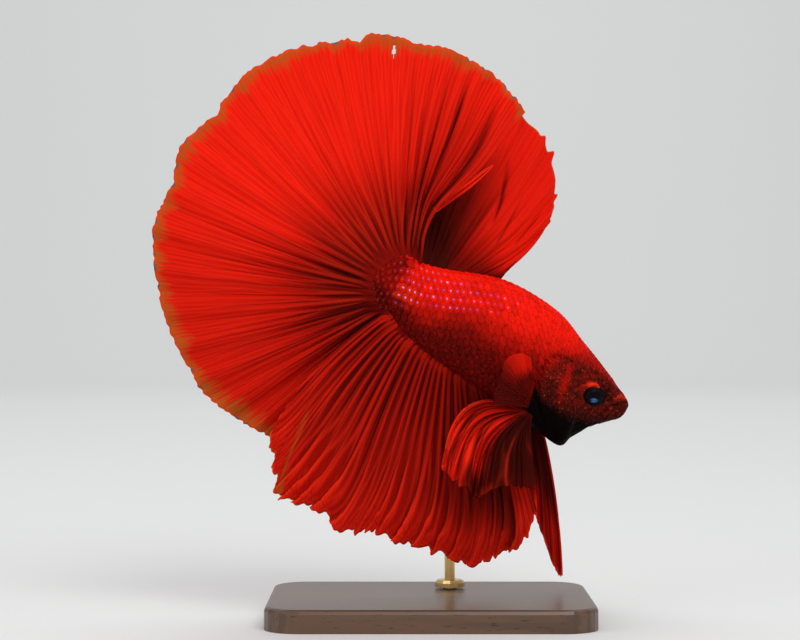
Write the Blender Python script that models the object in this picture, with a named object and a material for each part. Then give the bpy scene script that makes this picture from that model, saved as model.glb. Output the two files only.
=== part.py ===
"""A male halfmoon betta, life size, swimming with every fin spread, on a plain display stand.

Metres, +Z up. The origin is the centre of the base's underside. The head points along +X and
slightly down, the right flank faces -Y, and the tail bends towards -Y.
Dimensions are written in millimetres and placed through MM.
"""

import math

import bmesh
import bpy
from mathutils import Matrix, Vector

MM = 0.001
GAP = 0.3  # clearance between neighbouring pieces
FIN_THICKNESS = 0.5

# The body runs through stations from the mouth (0) to the root of the tail fin (11).
# Each station gives the back and belly points in the side view, as (x, z).
BACK = (
    (28.7, 31.0), (27.5, 32.5), (25.9, 34.7), (24.2, 36.9), (21.9, 39.7), (18.9, 43.4),
    (14.7, 46.4), (10.5, 48.4), (6.3, 49.3), (2.3, 49.9), (-1.0, 50.7), (-2.6, 51.8),
)
BELLY = (
    (28.7, 29.5), (27.3, 28.2), (25.2, 27.7), (22.9, 26.9), (20.3, 25.5), (18.3, 24.4),
    (13.5, 28.1), (8.6, 31.4), (3.7, 34.6), (-0.4, 37.2), (-4.4, 40.5), (-6.6, 43.2),
)
MID_PLANE = (3.4, 3.3, 3.1, 3.0, 2.7, 2.4, 2.0, 1.4, 0.3, -1.2, -3.0, -5.0)  # y of the spine
HALF_WIDTH = (0.9, 1.7, 2.6, 3.3, 3.9, 4.2, 4.3, 4.1, 3.6, 3.0, 2.4, 1.9)
TAIL_STATION = len(BACK) - 1
TAIL_TIP_HALF_WIDTH = 0.6
BODY_SEGMENTS = 24
RINGS_PER_STATION = 2
HEAD_END = 5.15
TRUNK_END = 9.7

GAPE_FRONT = (29.6, 30.7)  # the closed mouth's line in the side view
GAPE_CORNER = (25.4, 30.1)
JAW_DROP = 8.0

EYE_STATION = 3.2
EYE_HEIGHT = 31.7
EYE_RADIUS = 1.65
EYE_DEPTH = 1.2  # half the eye's thickness across the head
EYE_SINK = 0.55  # how far the eye's centre lies inside the cheek

GILL_STATION = 4.78
GILL_HALF_LENGTH = 0.95  # in stations
GILL_ANGLE = -24.0
GILL_HALF_ANGLE = 44.0
GILL_THICKNESS = 0.55
GILL_RINGS = 4
GILL_SPOKES = 20

TAIL_FAN = (53.5, 240.0)  # first and last ray of the tail fin, in degrees from +X
TAIL_RADII = (
    30.1, 32.2, 33.2, 33.7, 34.8, 34.9, 35.9, 36.0, 34.9, 35.7,
    34.8, 35.1, 34.2, 33.2, 32.4, 31.6, 30.2, 28.6, 28.6,
)
TAIL_EDGE_Y = (-9.5, -11.5, -12.0, -11.0, -8.0, -4.4, -0.6)
TAIL_BOW = (-0.03, 0.0)
TAIL_NOTCHES = ((99.0, 1.0), (137.0, 0.5))  # angle and depth
NOTCH_HALF_WIDTH = 2.5
TAIL_PLEATS = 19

DORSAL_STATIONS = (7.15, 10.1)
DORSAL_TIPS = (
    (11.2, 50.6), (16.6, 55.0), (18.8, 61.0), (16.9, 69.0), (11.2, 74.4), (4.5, 75.8), (-2.0, 73.6),
)
DORSAL_EDGE_Y = (1.8, 2.8, 4.0, 4.6, 4.0, 2.4)
DORSAL_BOW = (0.10, -0.06)
DORSAL_PLEATS = 9

ANAL_STATIONS = (6.95, 10.62)
ANAL_TIPS = (
    (15.9, 13.6), (13.6, 9.6), (9.6, 7.3), (5.0, 6.3), (0.6, 8.2), (-4.2, 9.2),
    (-8.4, 10.9), (-12.6, 11.2), (-17.0, 14.4), (-21.8, 16.6), (-22.9, 20.8), (-23.2, 25.9),
)
ANAL_EDGE_Y = (2.2, 1.8, 0.9, 0.2, -1.3, -3.6, -6.8, -9.6)
ANAL_BOW = (-0.02, 0.07)
ANAL_PLEATS = 15
ANAL_TURN = 22.0

BASE_SIZE = (46.0, 34.0, 3.2)
BASE_CORNER = 5.0
BASE_EDGE = 0.6
ROD_PATH = (  # from inside the base up behind the anal fin and into the left flank
    (3.0, 8.0, 1.2), (3.0, 8.0, 6.0), (3.0, 8.0, 14.0), (3.2, 7.8, 22.0),
    (3.4, 7.0, 29.5), (3.6, 5.2, 35.5), (3.8, 2.4, 40.0),
)
ROD_RADIUS = 0.75
ROD_SEGMENTS = 12
ROD_SECTIONS = 18
COLLAR_RADIUS = 2.2
COLLAR_HEIGHT = 1.0


def clear_scene():
    for obj in list(bpy.data.objects):
        bpy.data.objects.remove(obj, do_unlink=True)


def blend_through(values, t):
    """A smooth curve through evenly spaced numbers or vectors; t counts them from 0."""
    last = len(values) - 1
    i = min(max(int(t), 0), last - 1)
    f = t - i
    b, c = values[i], values[i + 1]
    a = values[i - 1] if i > 0 else b * 2 - c
    d = values[i + 2] if i + 2 <= last else c * 2 - b
    return b + ((c - a) + ((a * 2 - b * 5 + c * 4 - d) + (b * 3 - a - c * 3 + d) * f) * f) * (0.5 * f)


def side_view(points):
    return [Vector((x, 0.0, z)) for x, z in points]


def direction(degrees):
    """A unit vector in the side view, turned up from +X."""
    return Vector((math.cos(math.radians(degrees)), 0.0, math.sin(math.radians(degrees))))


def smooth_step(t):
    t = min(max(t, 0.0), 1.0)
    return t * t * (3 - 2 * t)


def spine_section(station):
    """Centre, half height as a vector, right-hand direction and half width of the body there."""
    t = min(station, TAIL_STATION)
    back = blend_through(side_view(BACK), t)
    belly = blend_through(side_view(BELLY), t)
    centre = (back + belly) / 2 + Vector((0.0, blend_through(MID_PLANE, t), 0.0))
    half_height = (back - belly) / 2
    step = 0.05
    ahead = min(t + step, TAIL_STATION)
    run = (ahead - t + step)
    slope = (blend_through(MID_PLANE, ahead) - blend_through(MID_PLANE, t - step)) / run
    centres = [
        (blend_through(side_view(BACK), s) + blend_through(side_view(BELLY), s)) / 2
        for s in (t - step, ahead)
    ]
    tailward = (centres[1] - centres[0]) / run + Vector((0.0, slope, 0.0))
    right = half_height.cross(tailward).normalized()
    half_width = blend_through(HALF_WIDTH, t)
    if station > TAIL_STATION:
        # Past the last station the flesh ends in a thinning half disc, where the tail rays start.
        turn = min(station - TAIL_STATION, 1.0) * math.pi / 2
        radius = half_height.length
        centre = centre + right.cross(half_height).normalized() * radius * math.sin(turn)
        half_height = half_height * math.cos(turn)
        half_width += (TAIL_TIP_HALF_WIDTH - half_width) * math.sin(turn)
    return centre, half_height, right, half_width


def skin_point(station, degrees, out=0.0):
    """A point on the body: 0 degrees is the right flank, 90 the back, 270 the belly."""
    centre, half_height, right, half_width = spine_section(station)
    a = math.radians(degrees)
    height = half_height.length + out
    return (
        centre
        + half_height.normalized() * height * math.sin(a)
        + right * (half_width + out) * math.cos(a)
    )


def material(name, colour, roughness, metallic=0.0):
    made = bpy.data.materials.get(name) or bpy.data.materials.new(name)
    made.use_nodes = True
    shader = made.node_tree.nodes["Principled BSDF"]
    shader.inputs["Base Color"].default_value = (*colour, 1.0)
    shader.inputs["Roughness"].default_value = roughness
    shader.inputs["Metallic"].default_value = metallic
    return made


def scarlet():
    return material("scarlet_fin", (0.80, 0.02, 0.01), 0.45)


def body_red():
    return material("scaled_skin", (0.62, 0.02, 0.01), 0.4)


def face_brown():
    return material("dark_face", (0.16, 0.02, 0.012), 0.5)


def object_from(name, bm, finish, smooth=True):
    """Closes a bmesh built in millimetres into a named object with its material."""
    bmesh.ops.scale(bm, vec=(MM, MM, MM), verts=bm.verts)
    mesh = bpy.data.meshes.new(name)
    bm.to_mesh(mesh)
    bm.free()
    if smooth:
        mesh.shade_smooth()
    mesh.materials.append(finish)
    obj = bpy.data.objects.new(name, mesh)
    bpy.context.scene.collection.objects.link(obj)
    return obj


def cut(obj, cutter, operation="DIFFERENCE"):
    cutter.hide_render = True
    cutter.display_type = "WIRE"
    boolean = obj.modifiers.new("cut_" + cutter.name, "BOOLEAN")
    boolean.operation = operation
    boolean.solver = "EXACT"
    boolean.object = cutter


def body_length(name, start, end, finish):
    """The stretch of body between two stations, closed at both ends."""
    count = max(2, round((end - start) * RINGS_PER_STATION))
    bm = bmesh.new()
    loops = []
    for k in range(count + 1):
        station = start + (end - start) * k / count
        angles = [360 * j / BODY_SEGMENTS for j in range(BODY_SEGMENTS)]
        ring = [bm.verts.new(skin_point(station, a)) for a in angles]
        loops.append([bm.edges.new((ring[j - 1], ring[j])) for j in range(BODY_SEGMENTS)])
    bmesh.ops.edgeloop_fill(bm, edges=loops[0])
    bmesh.ops.edgeloop_fill(bm, edges=loops[-1])
    for first, second in zip(loops, loops[1:]):
        bmesh.ops.bridge_loops(bm, edges=first + second)
    bmesh.ops.recalc_face_normals(bm, faces=bm.faces)
    return object_from(name, bm, finish)


def make_body():
    half_gap = GAP / 2 / 4.0  # a station is about 4 mm long where the body is parted
    head = body_length("head", 0.0, HEAD_END - half_gap, face_brown())
    jaw = body_length("lower_jaw", 0.0, HEAD_END - half_gap, face_brown())
    trunk = body_length("trunk", HEAD_END + half_gap, TRUNK_END - half_gap, body_red())
    stalk = body_length("tail_stalk", TRUNK_END + half_gap, TAIL_STATION + 0.93, body_red())
    return head, jaw, trunk, stalk


def part_jaw(head, jaw):
    """Splits the lower jaw from the head along the closed mouth."""
    front = Vector((GAPE_FRONT[0], 0.0, GAPE_FRONT[1]))
    corner = Vector((GAPE_CORNER[0], 0.0, GAPE_CORNER[1]))
    length = (front - corner).length
    slope = math.atan2(front.z - corner.z, front.x - corner.x)
    for owner, grow, operation in ((jaw, 0.0, "INTERSECT"), (head, GAP, "DIFFERENCE")):
        bm = bmesh.new()
        bmesh.ops.create_cube(bm, size=1.0)
        size = (length + grow, 20.0, JAW_DROP + grow)
        bmesh.ops.scale(bm, vec=size, verts=bm.verts)
        bmesh.ops.translate(
            bm, vec=((length - grow) / 2, MID_PLANE[2], (grow - JAW_DROP) / 2), verts=bm.verts
        )
        turn = Matrix.Rotation(-slope, 4, "Y")
        bmesh.ops.transform(bm, matrix=Matrix.Translation(corner) @ turn, verts=bm.verts)
        cut(owner, object_from("gape_of_" + owner.name, bm, face_brown()), operation)


def eye_frame(side):
    """Where an eye sits and which way it looks; side is 1 for the right eye, -1 for the left."""
    centre, half_height, right, half_width = spine_section(EYE_STATION)
    rise = (EYE_HEIGHT - centre.z) / half_height.length
    reach = half_width * math.sqrt(1 - rise * rise) - EYE_SINK
    looking = right * side
    spot = centre + half_height * rise + looking * reach
    return spot, looking


def make_eye(name, side, head):
    spot, looking = eye_frame(side)
    turn = looking.to_track_quat("Z", "Y").to_matrix().to_4x4()
    for grow in (0.0, GAP):
        bm = bmesh.new()
        bmesh.ops.create_uvsphere(bm, u_segments=16, v_segments=8, radius=1.0)
        radius = EYE_RADIUS + grow
        bmesh.ops.scale(bm, vec=(radius, radius, EYE_DEPTH + grow), verts=bm.verts)
        bmesh.ops.transform(bm, matrix=Matrix.Translation(spot) @ turn, verts=bm.verts)
        if grow:
            cut(head, object_from("socket_of_" + name, bm, face_brown()))
        else:
            object_from(name, bm, material("eye", (0.02, 0.02, 0.03), 0.15))


def make_gill_cover(name, side):
    """A plate over the gills, standing GAP clear of the head and rounded at its rear edge."""
    bm = bmesh.new()

    def plate_point(share, turn):
        station = GILL_STATION + GILL_HALF_LENGTH * share * math.cos(turn)
        angle = GILL_ANGLE + GILL_HALF_ANGLE * share * math.sin(turn)
        if side < 0:
            angle = 180 - angle
        return skin_point(station, angle, GAP + 0.1)

    hub = bm.verts.new(plate_point(0.0, 0.0))
    inner = None
    for k in range(1, GILL_RINGS + 1):
        turns = [2 * math.pi * j / GILL_SPOKES for j in range(GILL_SPOKES)]
        ring = [bm.verts.new(plate_point(k / GILL_RINGS, turn)) for turn in turns]
        for j in range(GILL_SPOKES):
            if inner:
                bm.faces.new((inner[j - 1], inner[j], ring[j], ring[j - 1]))
            else:
                bm.faces.new((hub, ring[j], ring[j - 1]))
        inner = ring
    outwards = spine_section(GILL_STATION)[2] * side
    bm.normal_update()
    if sum(f.normal.dot(outwards) for f in bm.faces) < 0:
        bmesh.ops.reverse_faces(bm, faces=bm.faces)
    plate = object_from(name, bm, face_brown())
    thicken(plate, GILL_THICKNESS, 1.0)


def thicken(obj, thickness, offset):
    solid = obj.modifiers.new("thickness", "SOLIDIFY")
    solid.thickness = thickness * MM
    solid.offset = offset
    solid.use_even_offset = False


def make_fin(name, columns, rows, root, tip, bow, pleat, sideways):
    """A sheet of fin from root(u) to tip(u), bowed in its own plane and pleated sideways.

    u runs along the root from the first ray to the last, v from the root to the edge.
    """
    bm = bmesh.new()
    grid = []
    for i in range(columns + 1):
        u = i / columns
        start, end = root(u), tip(u)
        chord = end - start
        across = sideways.cross(chord)
        line = []
        for j in range(rows + 1):
            v = j / rows
            spot = start + chord * v + across * (4 * bow(u) * v * (1 - v)) + sideways * pleat(u, v)
            line.append(bm.verts.new(spot))
        grid.append(line)
    for i in range(columns):
        for j in range(rows):
            bm.faces.new((grid[i][j], grid[i + 1][j], grid[i + 1][j + 1], grid[i][j + 1]))
    fin = object_from(name, bm, scarlet())
    thicken(fin, FIN_THICKNESS, 0.0)
    return fin


def ramp(pair):
    return lambda u: pair[0] + (pair[1] - pair[0]) * u


def folds(count, at_root, at_edge):
    """Pleats that run out along the rays, deepening from the root to the edge."""
    return lambda u, v: (at_root + (at_edge - at_root) * v) * math.cos(2 * math.pi * count * u)


def make_tail_fin():
    centre, half_height, right, _ = spine_section(TAIL_STATION)
    up = half_height.normalized()
    tailward = right.cross(up)
    radius = half_height.length + GAP + 0.05
    middle = (TAIL_FAN[0] + TAIL_FAN[1]) / 2
    hub = Vector((centre.x, 0.0, centre.z))

    def ray_angle(u):
        return TAIL_FAN[0] + (TAIL_FAN[1] - TAIL_FAN[0]) * u

    def root(u):
        turn = math.radians(ray_angle(u) - middle)
        return centre + tailward * radius * math.cos(turn) - up * radius * math.sin(turn)

    def tip(u):
        angle = ray_angle(u)
        reach = blend_through(TAIL_RADII, u * (len(TAIL_RADII) - 1))
        for notch, depth in TAIL_NOTCHES:
            reach -= depth * math.exp(-(((angle - notch) / NOTCH_HALF_WIDTH) ** 2))
        y = blend_through(TAIL_EDGE_Y, u * (len(TAIL_EDGE_Y) - 1))
        return hub + direction(angle) * reach + Vector((0.0, y, 0.0))

    make_fin(
        "caudal_fin", TAIL_PLEATS * 4, 5, root, tip, ramp(TAIL_BOW),
        folds(TAIL_PLEATS, 0.25, 0.4), Vector((0.0, 1.0, 0.0)),
    )


def edge_curve(points, edge_y):
    """The fin's edge in the side view, and how far it stands off the middle plane."""
    def edge(u):
        spot = blend_through(side_view(points), u * (len(points) - 1))
        spot.y = blend_through(edge_y, u * (len(edge_y) - 1))
        return spot

    return edge


def root_curve(stations, degrees, turn=0.0):
    """Along the body between two stations; turn swings the tail end of it round the flank."""
    def root(u):
        station = stations[0] + (stations[1] - stations[0]) * u
        return skin_point(station, degrees + turn * u * u, GAP + 0.05)

    return root


def make_median_fins():
    sideways = Vector((0.0, 1.0, 0.0))
    make_fin(
        "dorsal_fin", DORSAL_PLEATS * 4, 6, root_curve(DORSAL_STATIONS, 90),
        edge_curve(DORSAL_TIPS, DORSAL_EDGE_Y), ramp(DORSAL_BOW),
        folds(DORSAL_PLEATS, 0.1, 0.5), sideways,
    )
    make_fin(
        "anal_fin", ANAL_PLEATS * 4, 6, root_curve(ANAL_STATIONS, 270, ANAL_TURN),
        edge_curve(ANAL_TIPS, ANAL_EDGE_Y), ramp(ANAL_BOW),
        folds(ANAL_PLEATS, 0.1, 0.6), sideways,
    )


def make_ventral_fins():
    """The right one is fanned back across the flank; the left one hangs as a long blade."""
    def right_root(u):
        return skin_point(6.15 - 0.3 * u, 296, GAP + 0.1)

    right_tips = edge_curve(
        ((1.7, 24.2), (1.6, 20.8), (5.0, 18.9), (10.2, 18.6), (14.6, 19.6)),
        (-4.8, -5.6, -5.2, -3.8, -1.8),
    )
    make_fin(
        "ventral_fin_right", 20, 6, right_root, right_tips, ramp((-0.30, -0.05)),
        folds(5, 0.05, 0.6), Vector((0.25, -1.0, 0.15)).normalized(),
    )

    def left_root(u):
        return skin_point(5.42 + 0.45 * u, 246, GAP + 0.1)

    left_tips = edge_curve(((19.4, 4.9), (18.4, 5.6), (16.6, 10.4), (14.2, 17.0)), (5.4, 5.0, 4.4))
    make_fin(
        "ventral_fin_left", 12, 7, left_root, left_tips, ramp((0.025, 0.02)),
        folds(3, 0.05, 0.25), Vector((0.0, -1.0, 0.0)),
    )


def make_pectoral_fin(name, side, lift):
    """A round fan on the flank behind the gill cover, spread outwards."""
    def root(u):
        angle = -22 - 30 * u
        return skin_point(5.92 + 0.1 * u, angle if side > 0 else 180 - angle, GAP + 0.1)

    tips = [
        root(k / 3) + Vector((dx, -side * dy, dz + lift))
        for k, (dx, dy, dz) in enumerate(
            ((-0.9, 4.0, 4.9), (-3.4, 5.4, 5.6), (-4.6, 5.6, 3.2), (-5.2, 4.8, 0.6))
        )
    ]
    make_fin(
        name, 12, 5, root, lambda u: blend_through(tips, u * 3), ramp((0.0, 0.0)),
        folds(3, 0.0, 0.2), Vector((0.6, -side, 0.1)).normalized(),
    )


def make_stand(trunk):
    base = bmesh.new()
    bmesh.ops.create_cube(base, size=1.0)
    bmesh.ops.scale(base, vec=BASE_SIZE, verts=base.verts)
    bmesh.ops.translate(base, vec=(0, 0, BASE_SIZE[2] / 2), verts=base.verts)
    corners = [e for e in base.edges if abs(e.verts[0].co.z - e.verts[1].co.z) > 1]
    bmesh.ops.bevel(base, geom=corners, offset=BASE_CORNER, segments=6, affect="EDGES", profile=0.5)
    top = [
        e for e in base.edges
        if all(v.co.z > BASE_SIZE[2] - 0.01 for v in e.verts)
    ]
    bmesh.ops.bevel(base, geom=top, offset=BASE_EDGE, segments=2, affect="EDGES", profile=0.5)
    plate = object_from("stand_base", base, material("walnut", (0.10, 0.05, 0.025), 0.5), False)

    rod_path = [Vector(point) for point in ROD_PATH]
    path_length = len(rod_path) - 1
    deck = BASE_SIZE[2] + GAP
    foot = rod_path[0]
    collar = [
        (Vector((foot.x, foot.y, z)), r)
        for z, r in (
            (deck, ROD_RADIUS), (deck, COLLAR_RADIUS), (deck + COLLAR_HEIGHT * 0.6, COLLAR_RADIUS),
            (deck + COLLAR_HEIGHT, COLLAR_RADIUS - 0.4), (deck + COLLAR_HEIGHT, ROD_RADIUS),
        )
    ]
    above = [
        (blend_through(rod_path, t), ROD_RADIUS)
        for t in (1 + (path_length - 1) * k / ROD_SECTIONS for k in range(ROD_SECTIONS + 1))
    ]
    brass = material("brass", (0.80, 0.58, 0.25), 0.3, 1.0)
    tube("stand_rod", [(foot, ROD_RADIUS)] + collar + above, brass)
    bore = ROD_RADIUS + GAP
    below = Vector((0.0, 0.0, GAP))
    cut(plate, tube("hole_in_base", [(foot - below, bore), (foot + below * 10, bore)], brass))
    end, before = above[-1][0], above[-4][0]
    beyond = (end - before).normalized() * GAP
    socket = [(before, bore)] + [(spot, bore) for spot, _ in above[-3:-1]] + [(end + beyond, bore)]
    cut(trunk, tube("socket_in_trunk", socket, brass))


def tube(name, rings, finish):
    """A round bar through rings of (centre, radius), closed at both ends."""
    bm = bmesh.new()
    loops = []
    for k, (centre, radius) in enumerate(rings):
        ahead = next((c for c, _ in rings[k + 1:] if (c - centre).length > 0.01), None)
        behind = next((c for c, _ in rings[k - 1::-1] if (c - centre).length > 0.01), None)
        run = (ahead or centre) - (behind if behind and k else centre)
        aside = run.cross(Vector((1.0, 0.0, 0.0))).normalized()
        across = aside.cross(run).normalized()
        ring = []
        for j in range(ROD_SEGMENTS):
            a = 2 * math.pi * j / ROD_SEGMENTS
            spoke = across * math.cos(a) + aside * math.sin(a)
            ring.append(bm.verts.new(centre + spoke * radius))
        loops.append([bm.edges.new((ring[j - 1], ring[j])) for j in range(ROD_SEGMENTS)])
    bmesh.ops.edgeloop_fill(bm, edges=loops[0])
    bmesh.ops.edgeloop_fill(bm, edges=loops[-1])
    for first, second in zip(loops, loops[1:]):
        bmesh.ops.bridge_loops(bm, edges=first + second)
    bmesh.ops.recalc_face_normals(bm, faces=bm.faces)
    obj = object_from(name, bm, finish)
    obj.data.set_sharp_from_angle(angle=math.radians(40))
    return obj


def main():
    clear_scene()
    head, jaw, trunk, _ = make_body()
    part_jaw(head, jaw)
    for word, side in (("right", 1), ("left", -1)):
        make_eye("eye_" + word, side, head)
        make_gill_cover("gill_cover_" + word, side)
        make_pectoral_fin("pectoral_fin_" + word, side, 0.0 if side > 0 else -0.6)
    make_tail_fin()
    make_median_fins()
    make_ventral_fins()
    make_stand(trunk)


main()
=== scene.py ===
"""A male halfmoon betta as a still, life-size display model: skin, scales, eyes, fins and stand."""

import math

import bpy
import numpy as np
from bpy.props import FloatProperty, FloatVectorProperty, IntProperty, PointerProperty
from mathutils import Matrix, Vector


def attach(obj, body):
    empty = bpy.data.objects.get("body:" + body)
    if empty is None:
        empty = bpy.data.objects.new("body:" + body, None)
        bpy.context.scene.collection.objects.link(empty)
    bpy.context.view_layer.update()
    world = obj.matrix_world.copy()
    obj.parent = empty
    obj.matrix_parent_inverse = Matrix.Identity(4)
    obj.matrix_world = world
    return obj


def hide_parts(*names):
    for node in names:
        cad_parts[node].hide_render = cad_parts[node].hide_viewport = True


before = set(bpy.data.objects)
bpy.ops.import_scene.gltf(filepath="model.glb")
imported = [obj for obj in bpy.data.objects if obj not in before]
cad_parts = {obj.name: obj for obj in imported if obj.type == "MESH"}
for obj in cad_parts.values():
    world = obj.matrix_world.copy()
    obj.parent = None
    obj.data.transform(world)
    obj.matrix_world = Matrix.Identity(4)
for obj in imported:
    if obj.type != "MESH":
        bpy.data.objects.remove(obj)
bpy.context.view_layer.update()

bl_info = {
    "name": "Halfmoon Betta Display Model",
    "version": (1, 0, 0),
    "blender": (4, 5, 0),
    "location": "View3D > Sidebar > Betta",
    "description": "Dresses the betta's solids with skin, scales, eyes and rayed fins",
    "category": "Object",
}

MM = 0.001
ROOT = "root"

# The body runs through stations from the mouth (0) to the root of the tail fin (11).
# Lengths below are in millimetres.
BACK = (
    (28.7, 31.0), (27.5, 32.5), (25.9, 34.7), (24.2, 36.9), (21.9, 39.7), (18.9, 43.4),
    (14.7, 46.4), (10.5, 48.4), (6.3, 49.3), (2.3, 49.9), (-1.0, 50.7), (-2.6, 51.8),
)
BELLY = (
    (28.7, 29.5), (27.3, 28.2), (25.2, 27.7), (22.9, 26.9), (20.3, 25.5), (18.3, 24.4),
    (13.5, 28.1), (8.6, 31.4), (3.7, 34.6), (-0.4, 37.2), (-4.4, 40.5), (-6.6, 43.2),
)
MID_PLANE = (3.4, 3.3, 3.1, 3.0, 2.7, 2.4, 2.0, 1.4, 0.3, -1.2, -3.0, -5.0)
HALF_WIDTH = (0.9, 1.7, 2.6, 3.3, 3.9, 4.2, 4.3, 4.1, 3.6, 3.0, 2.4, 1.9)
TAIL_STATION = len(BACK) - 1
SKIN_END = TAIL_STATION + 0.93
SKIN_DEPTH = 0.12
SIDE_LEAN = 0.3
FLESHY_ROOT = 3.0
TAIL_TIP_HALF_WIDTH = 0.6
SIDEWAYS = np.array((0.0, 1.0, 0.0))
SNOUT_STATION = 0.6
NECK_STATION = 6.2

EYE = (23.0, 31.7)
EYE_STATION = 3.2
EYE_RADIUS = 1.65
EYE_SINK = 0.55
GILL_STATION, GILL_HALF_LENGTH = 4.78, 0.95
GILL_ANGLE, GILL_HALF_ANGLE = -24.0, 44.0
# The fleshy lobe on the flank that carries the pectoral fin.
LOBE_STATION, LOBE_ANGLE = 6.0, -38.0
GAPE = ((29.2, 30.8), (28.2, 30.7), (26.8, 30.4), (25.7, 30.1), (25.2, 29.4))
NOSTRIL = (26.0, 32.7)
LIP_SWELL = (27.9, 31.9)
CHEEK_SWELL = (21.6, 30.0)
HOLLOW_AHEAD_OF_EYE = (25.1, 31.8)
CHEEK_RIDGE = ((20.7, 36.9), (19.9, 34.4), (19.9, 31.4), (21.0, 29.0), (23.2, 28.1))
THROAT_FOLDS = (
    ((17.8, 26.6), (20.4, 27.3), (23.6, 28.2)),
    ((18.6, 25.5), (21.0, 26.5), (24.2, 27.6)),
)
CREST_LINE = ((16.0, 37.6), (20.0, 35.2), (24.0, 32.8), (29.0, 29.3))
UPPER_LIP = ((26.6, 31.4), (27.6, 31.6), (28.6, 31.2))
CHEEK_STRIPE = ((20.0, 35.4), (19.3, 33.6), (18.8, 31.8), (18.6, 30.6))
GILL_RIM = ((15.9, 35.2), (15.2, 33.8), (15.3, 32.4), (15.7, 31.4))
# Each dark area of the face is painted shade: where it lies, its half length and height, and how dark it is.
DARK_PATCHES = (
    ((24.9, 31.7), (1.5, 1.1), 1.6), ((17.4, 32.3), (1.1, 1.6), 0.75), ((15.7, 35.7), (0.5, 0.5), 0.8),
    ((27.6, 29.9), (1.6, 0.8), 0.55), ((21.3, 30.2), (1.2, 1.4), 0.35),
)
# Below this line the throat turns black, partly its own colour and partly painted shade under the head; the
# face's painted shade darkens towards it.
THROAT_LINE = ((13.2, 32.6), (18.4, 30.2), (23.2, 28.4), (25.4, 27.4))
# The middle of a painted shadow behind the gill cover.
SHADOW_BEHIND_GILL = (14.5, 30.6)
DARK_END_OF_BACK = (-3.1, 51.0)

# The lavender band of the flank: (x, height of its middle) and (x, half its width).
BAND_MIDDLE = ((-8.0, 48.2), (-3.0, 47.5), (2.7, 46.3), (9.0, 44.9), (12.0, 44.5))
BAND_HALF_WIDTH = ((-6.0, 3.8), (-3.0, 2.7), (2.7, 2.4), (9.0, 1.8), (12.0, 1.0))
# The middle of the red highlight painted on the flank.
RED_HIGHLIGHT = (-3.6, 46.3)

# Scales are laid between these stations, and then kept where the face's markings let them be.
# The large ones start at the nape, and the small ones end just behind it.
BODY_SCALE_STATIONS = (2.6, 11.75)
HEAD_SCALE_STATIONS = (1.5, 6.4)
NAPE_STATION = 5.3
HEAD_SCALE_PITCH = 0.62

# The tail fan: the angles of its front and lower end, and its reach at even steps between them.
TAIL_FAN = (53.5, 240.0)
TAIL_RADII = (
    30.1, 32.2, 33.2, 33.7, 34.8, 34.9, 35.9, 36.0, 34.9, 35.7,
    34.8, 35.1, 34.2, 33.2, 32.4, 31.6, 30.2, 28.6, 28.6,
)
TAIL_EDGE_Y = (-9.5, -11.5, -12.0, -11.0, -8.0, -4.4, -0.6)
TAIL_BOW = (-0.03, 0.0)
FRONT_LAPPET = ((0.6, -5.45, 57.9), (3.4, -6.15, 60.1), (5.9, -6.6, 61.9), (8.7, -6.9, 64.1))
# Notches in the edge: the angle, the depth and half the width in degrees.
TAIL_NOTCHES = ((99.0, 1.0, 2.5), (137.0, 0.5, 2.5), (109.8, 0.4, 1.6), (155.5, 0.5, 2.5))
# The slit near the top edge: (angle, share of the ray) at its middle, and half its size in each.
TAIL_SLIT = (90.7, 0.935)
TAIL_SLIT_HALF = (0.7, 0.034)

DORSAL_STATIONS = (7.15, 10.1)
DORSAL_TIPS = (
    (11.2, 50.6), (16.6, 55.0), (18.8, 61.0), (16.9, 69.0), (11.2, 74.4), (4.5, 75.8), (-2.0, 73.6),
)
# Long creases: where each starts across the fin and along it, its lean and its strength.
DORSAL_FOLDS = ((0.485, 0.43, 0.27, 0.85), (0.385, 0.34, 0.2, 0.6), (0.30, 0.5, 0.12, 0.5))
# Spikes of the edge: where each stands across the fin, half its width and its height.
DORSAL_SPIKES = ((0.23, 0.012, 0.5), (0.33, 0.01, 0.7), (0.45, 0.011, 1.0), (0.505, 0.012, 0.8))
DORSAL_EDGE_Y = (1.8, 2.8, 4.0, 4.6, 4.0, 2.4)
DORSAL_BOW = (0.10, -0.06)

ANAL_STATIONS = (6.95, 10.62)
ANAL_TIPS = (
    (15.9, 13.6), (13.6, 9.6), (9.6, 7.3), (5.0, 6.3), (0.6, 8.2), (-4.2, 9.2),
    (-8.4, 10.9), (-12.6, 11.2), (-17.0, 14.4), (-21.8, 16.6), (-22.9, 20.8), (-23.2, 25.9),
)
ANAL_EDGE_Y = (2.2, 1.8, 0.9, 0.2, -1.3, -3.6, -6.8, -9.6)
ANAL_BOW = (-0.02, 0.07)
ANAL_TURN = 22.0

RIGHT_VENTRAL_TIPS = (
    (1.7, 24.2), (1.6, 20.8), (4.0, 18.8), (6.4, 17.2), (9.3, 18.6), (12.4, 18.5), (15.2, 18.0),
)
RIGHT_VENTRAL_EDGE_Y = (-4.8, -5.5, -5.4, -5.0, -4.2, -3.2, -1.6)
LEFT_VENTRAL_TIPS = ((19.4, 4.9), (18.4, 5.6), (16.6, 10.4), (14.2, 17.0))
LEFT_VENTRAL_EDGE_Y = (5.4, 5.0, 4.4)

PECTORAL_STATION = 5.92
# How far points round the pectoral fin's edge lie from its root: ahead, outwards and up.
PECTORAL_REACH = (
    (-0.7, 3.9, 3.7), (-1.6, 4.7, 5.4), (-3.5, 5.4, 5.5), (-4.7, 5.6, 3.0), (-5.2, 4.8, 0.6),
)
LEFT_PECTORAL_DROP = 0.6
PECTORAL_THICKNESS = 0.2


# ---------------------------------------------------------------- numbers and curves

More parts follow.
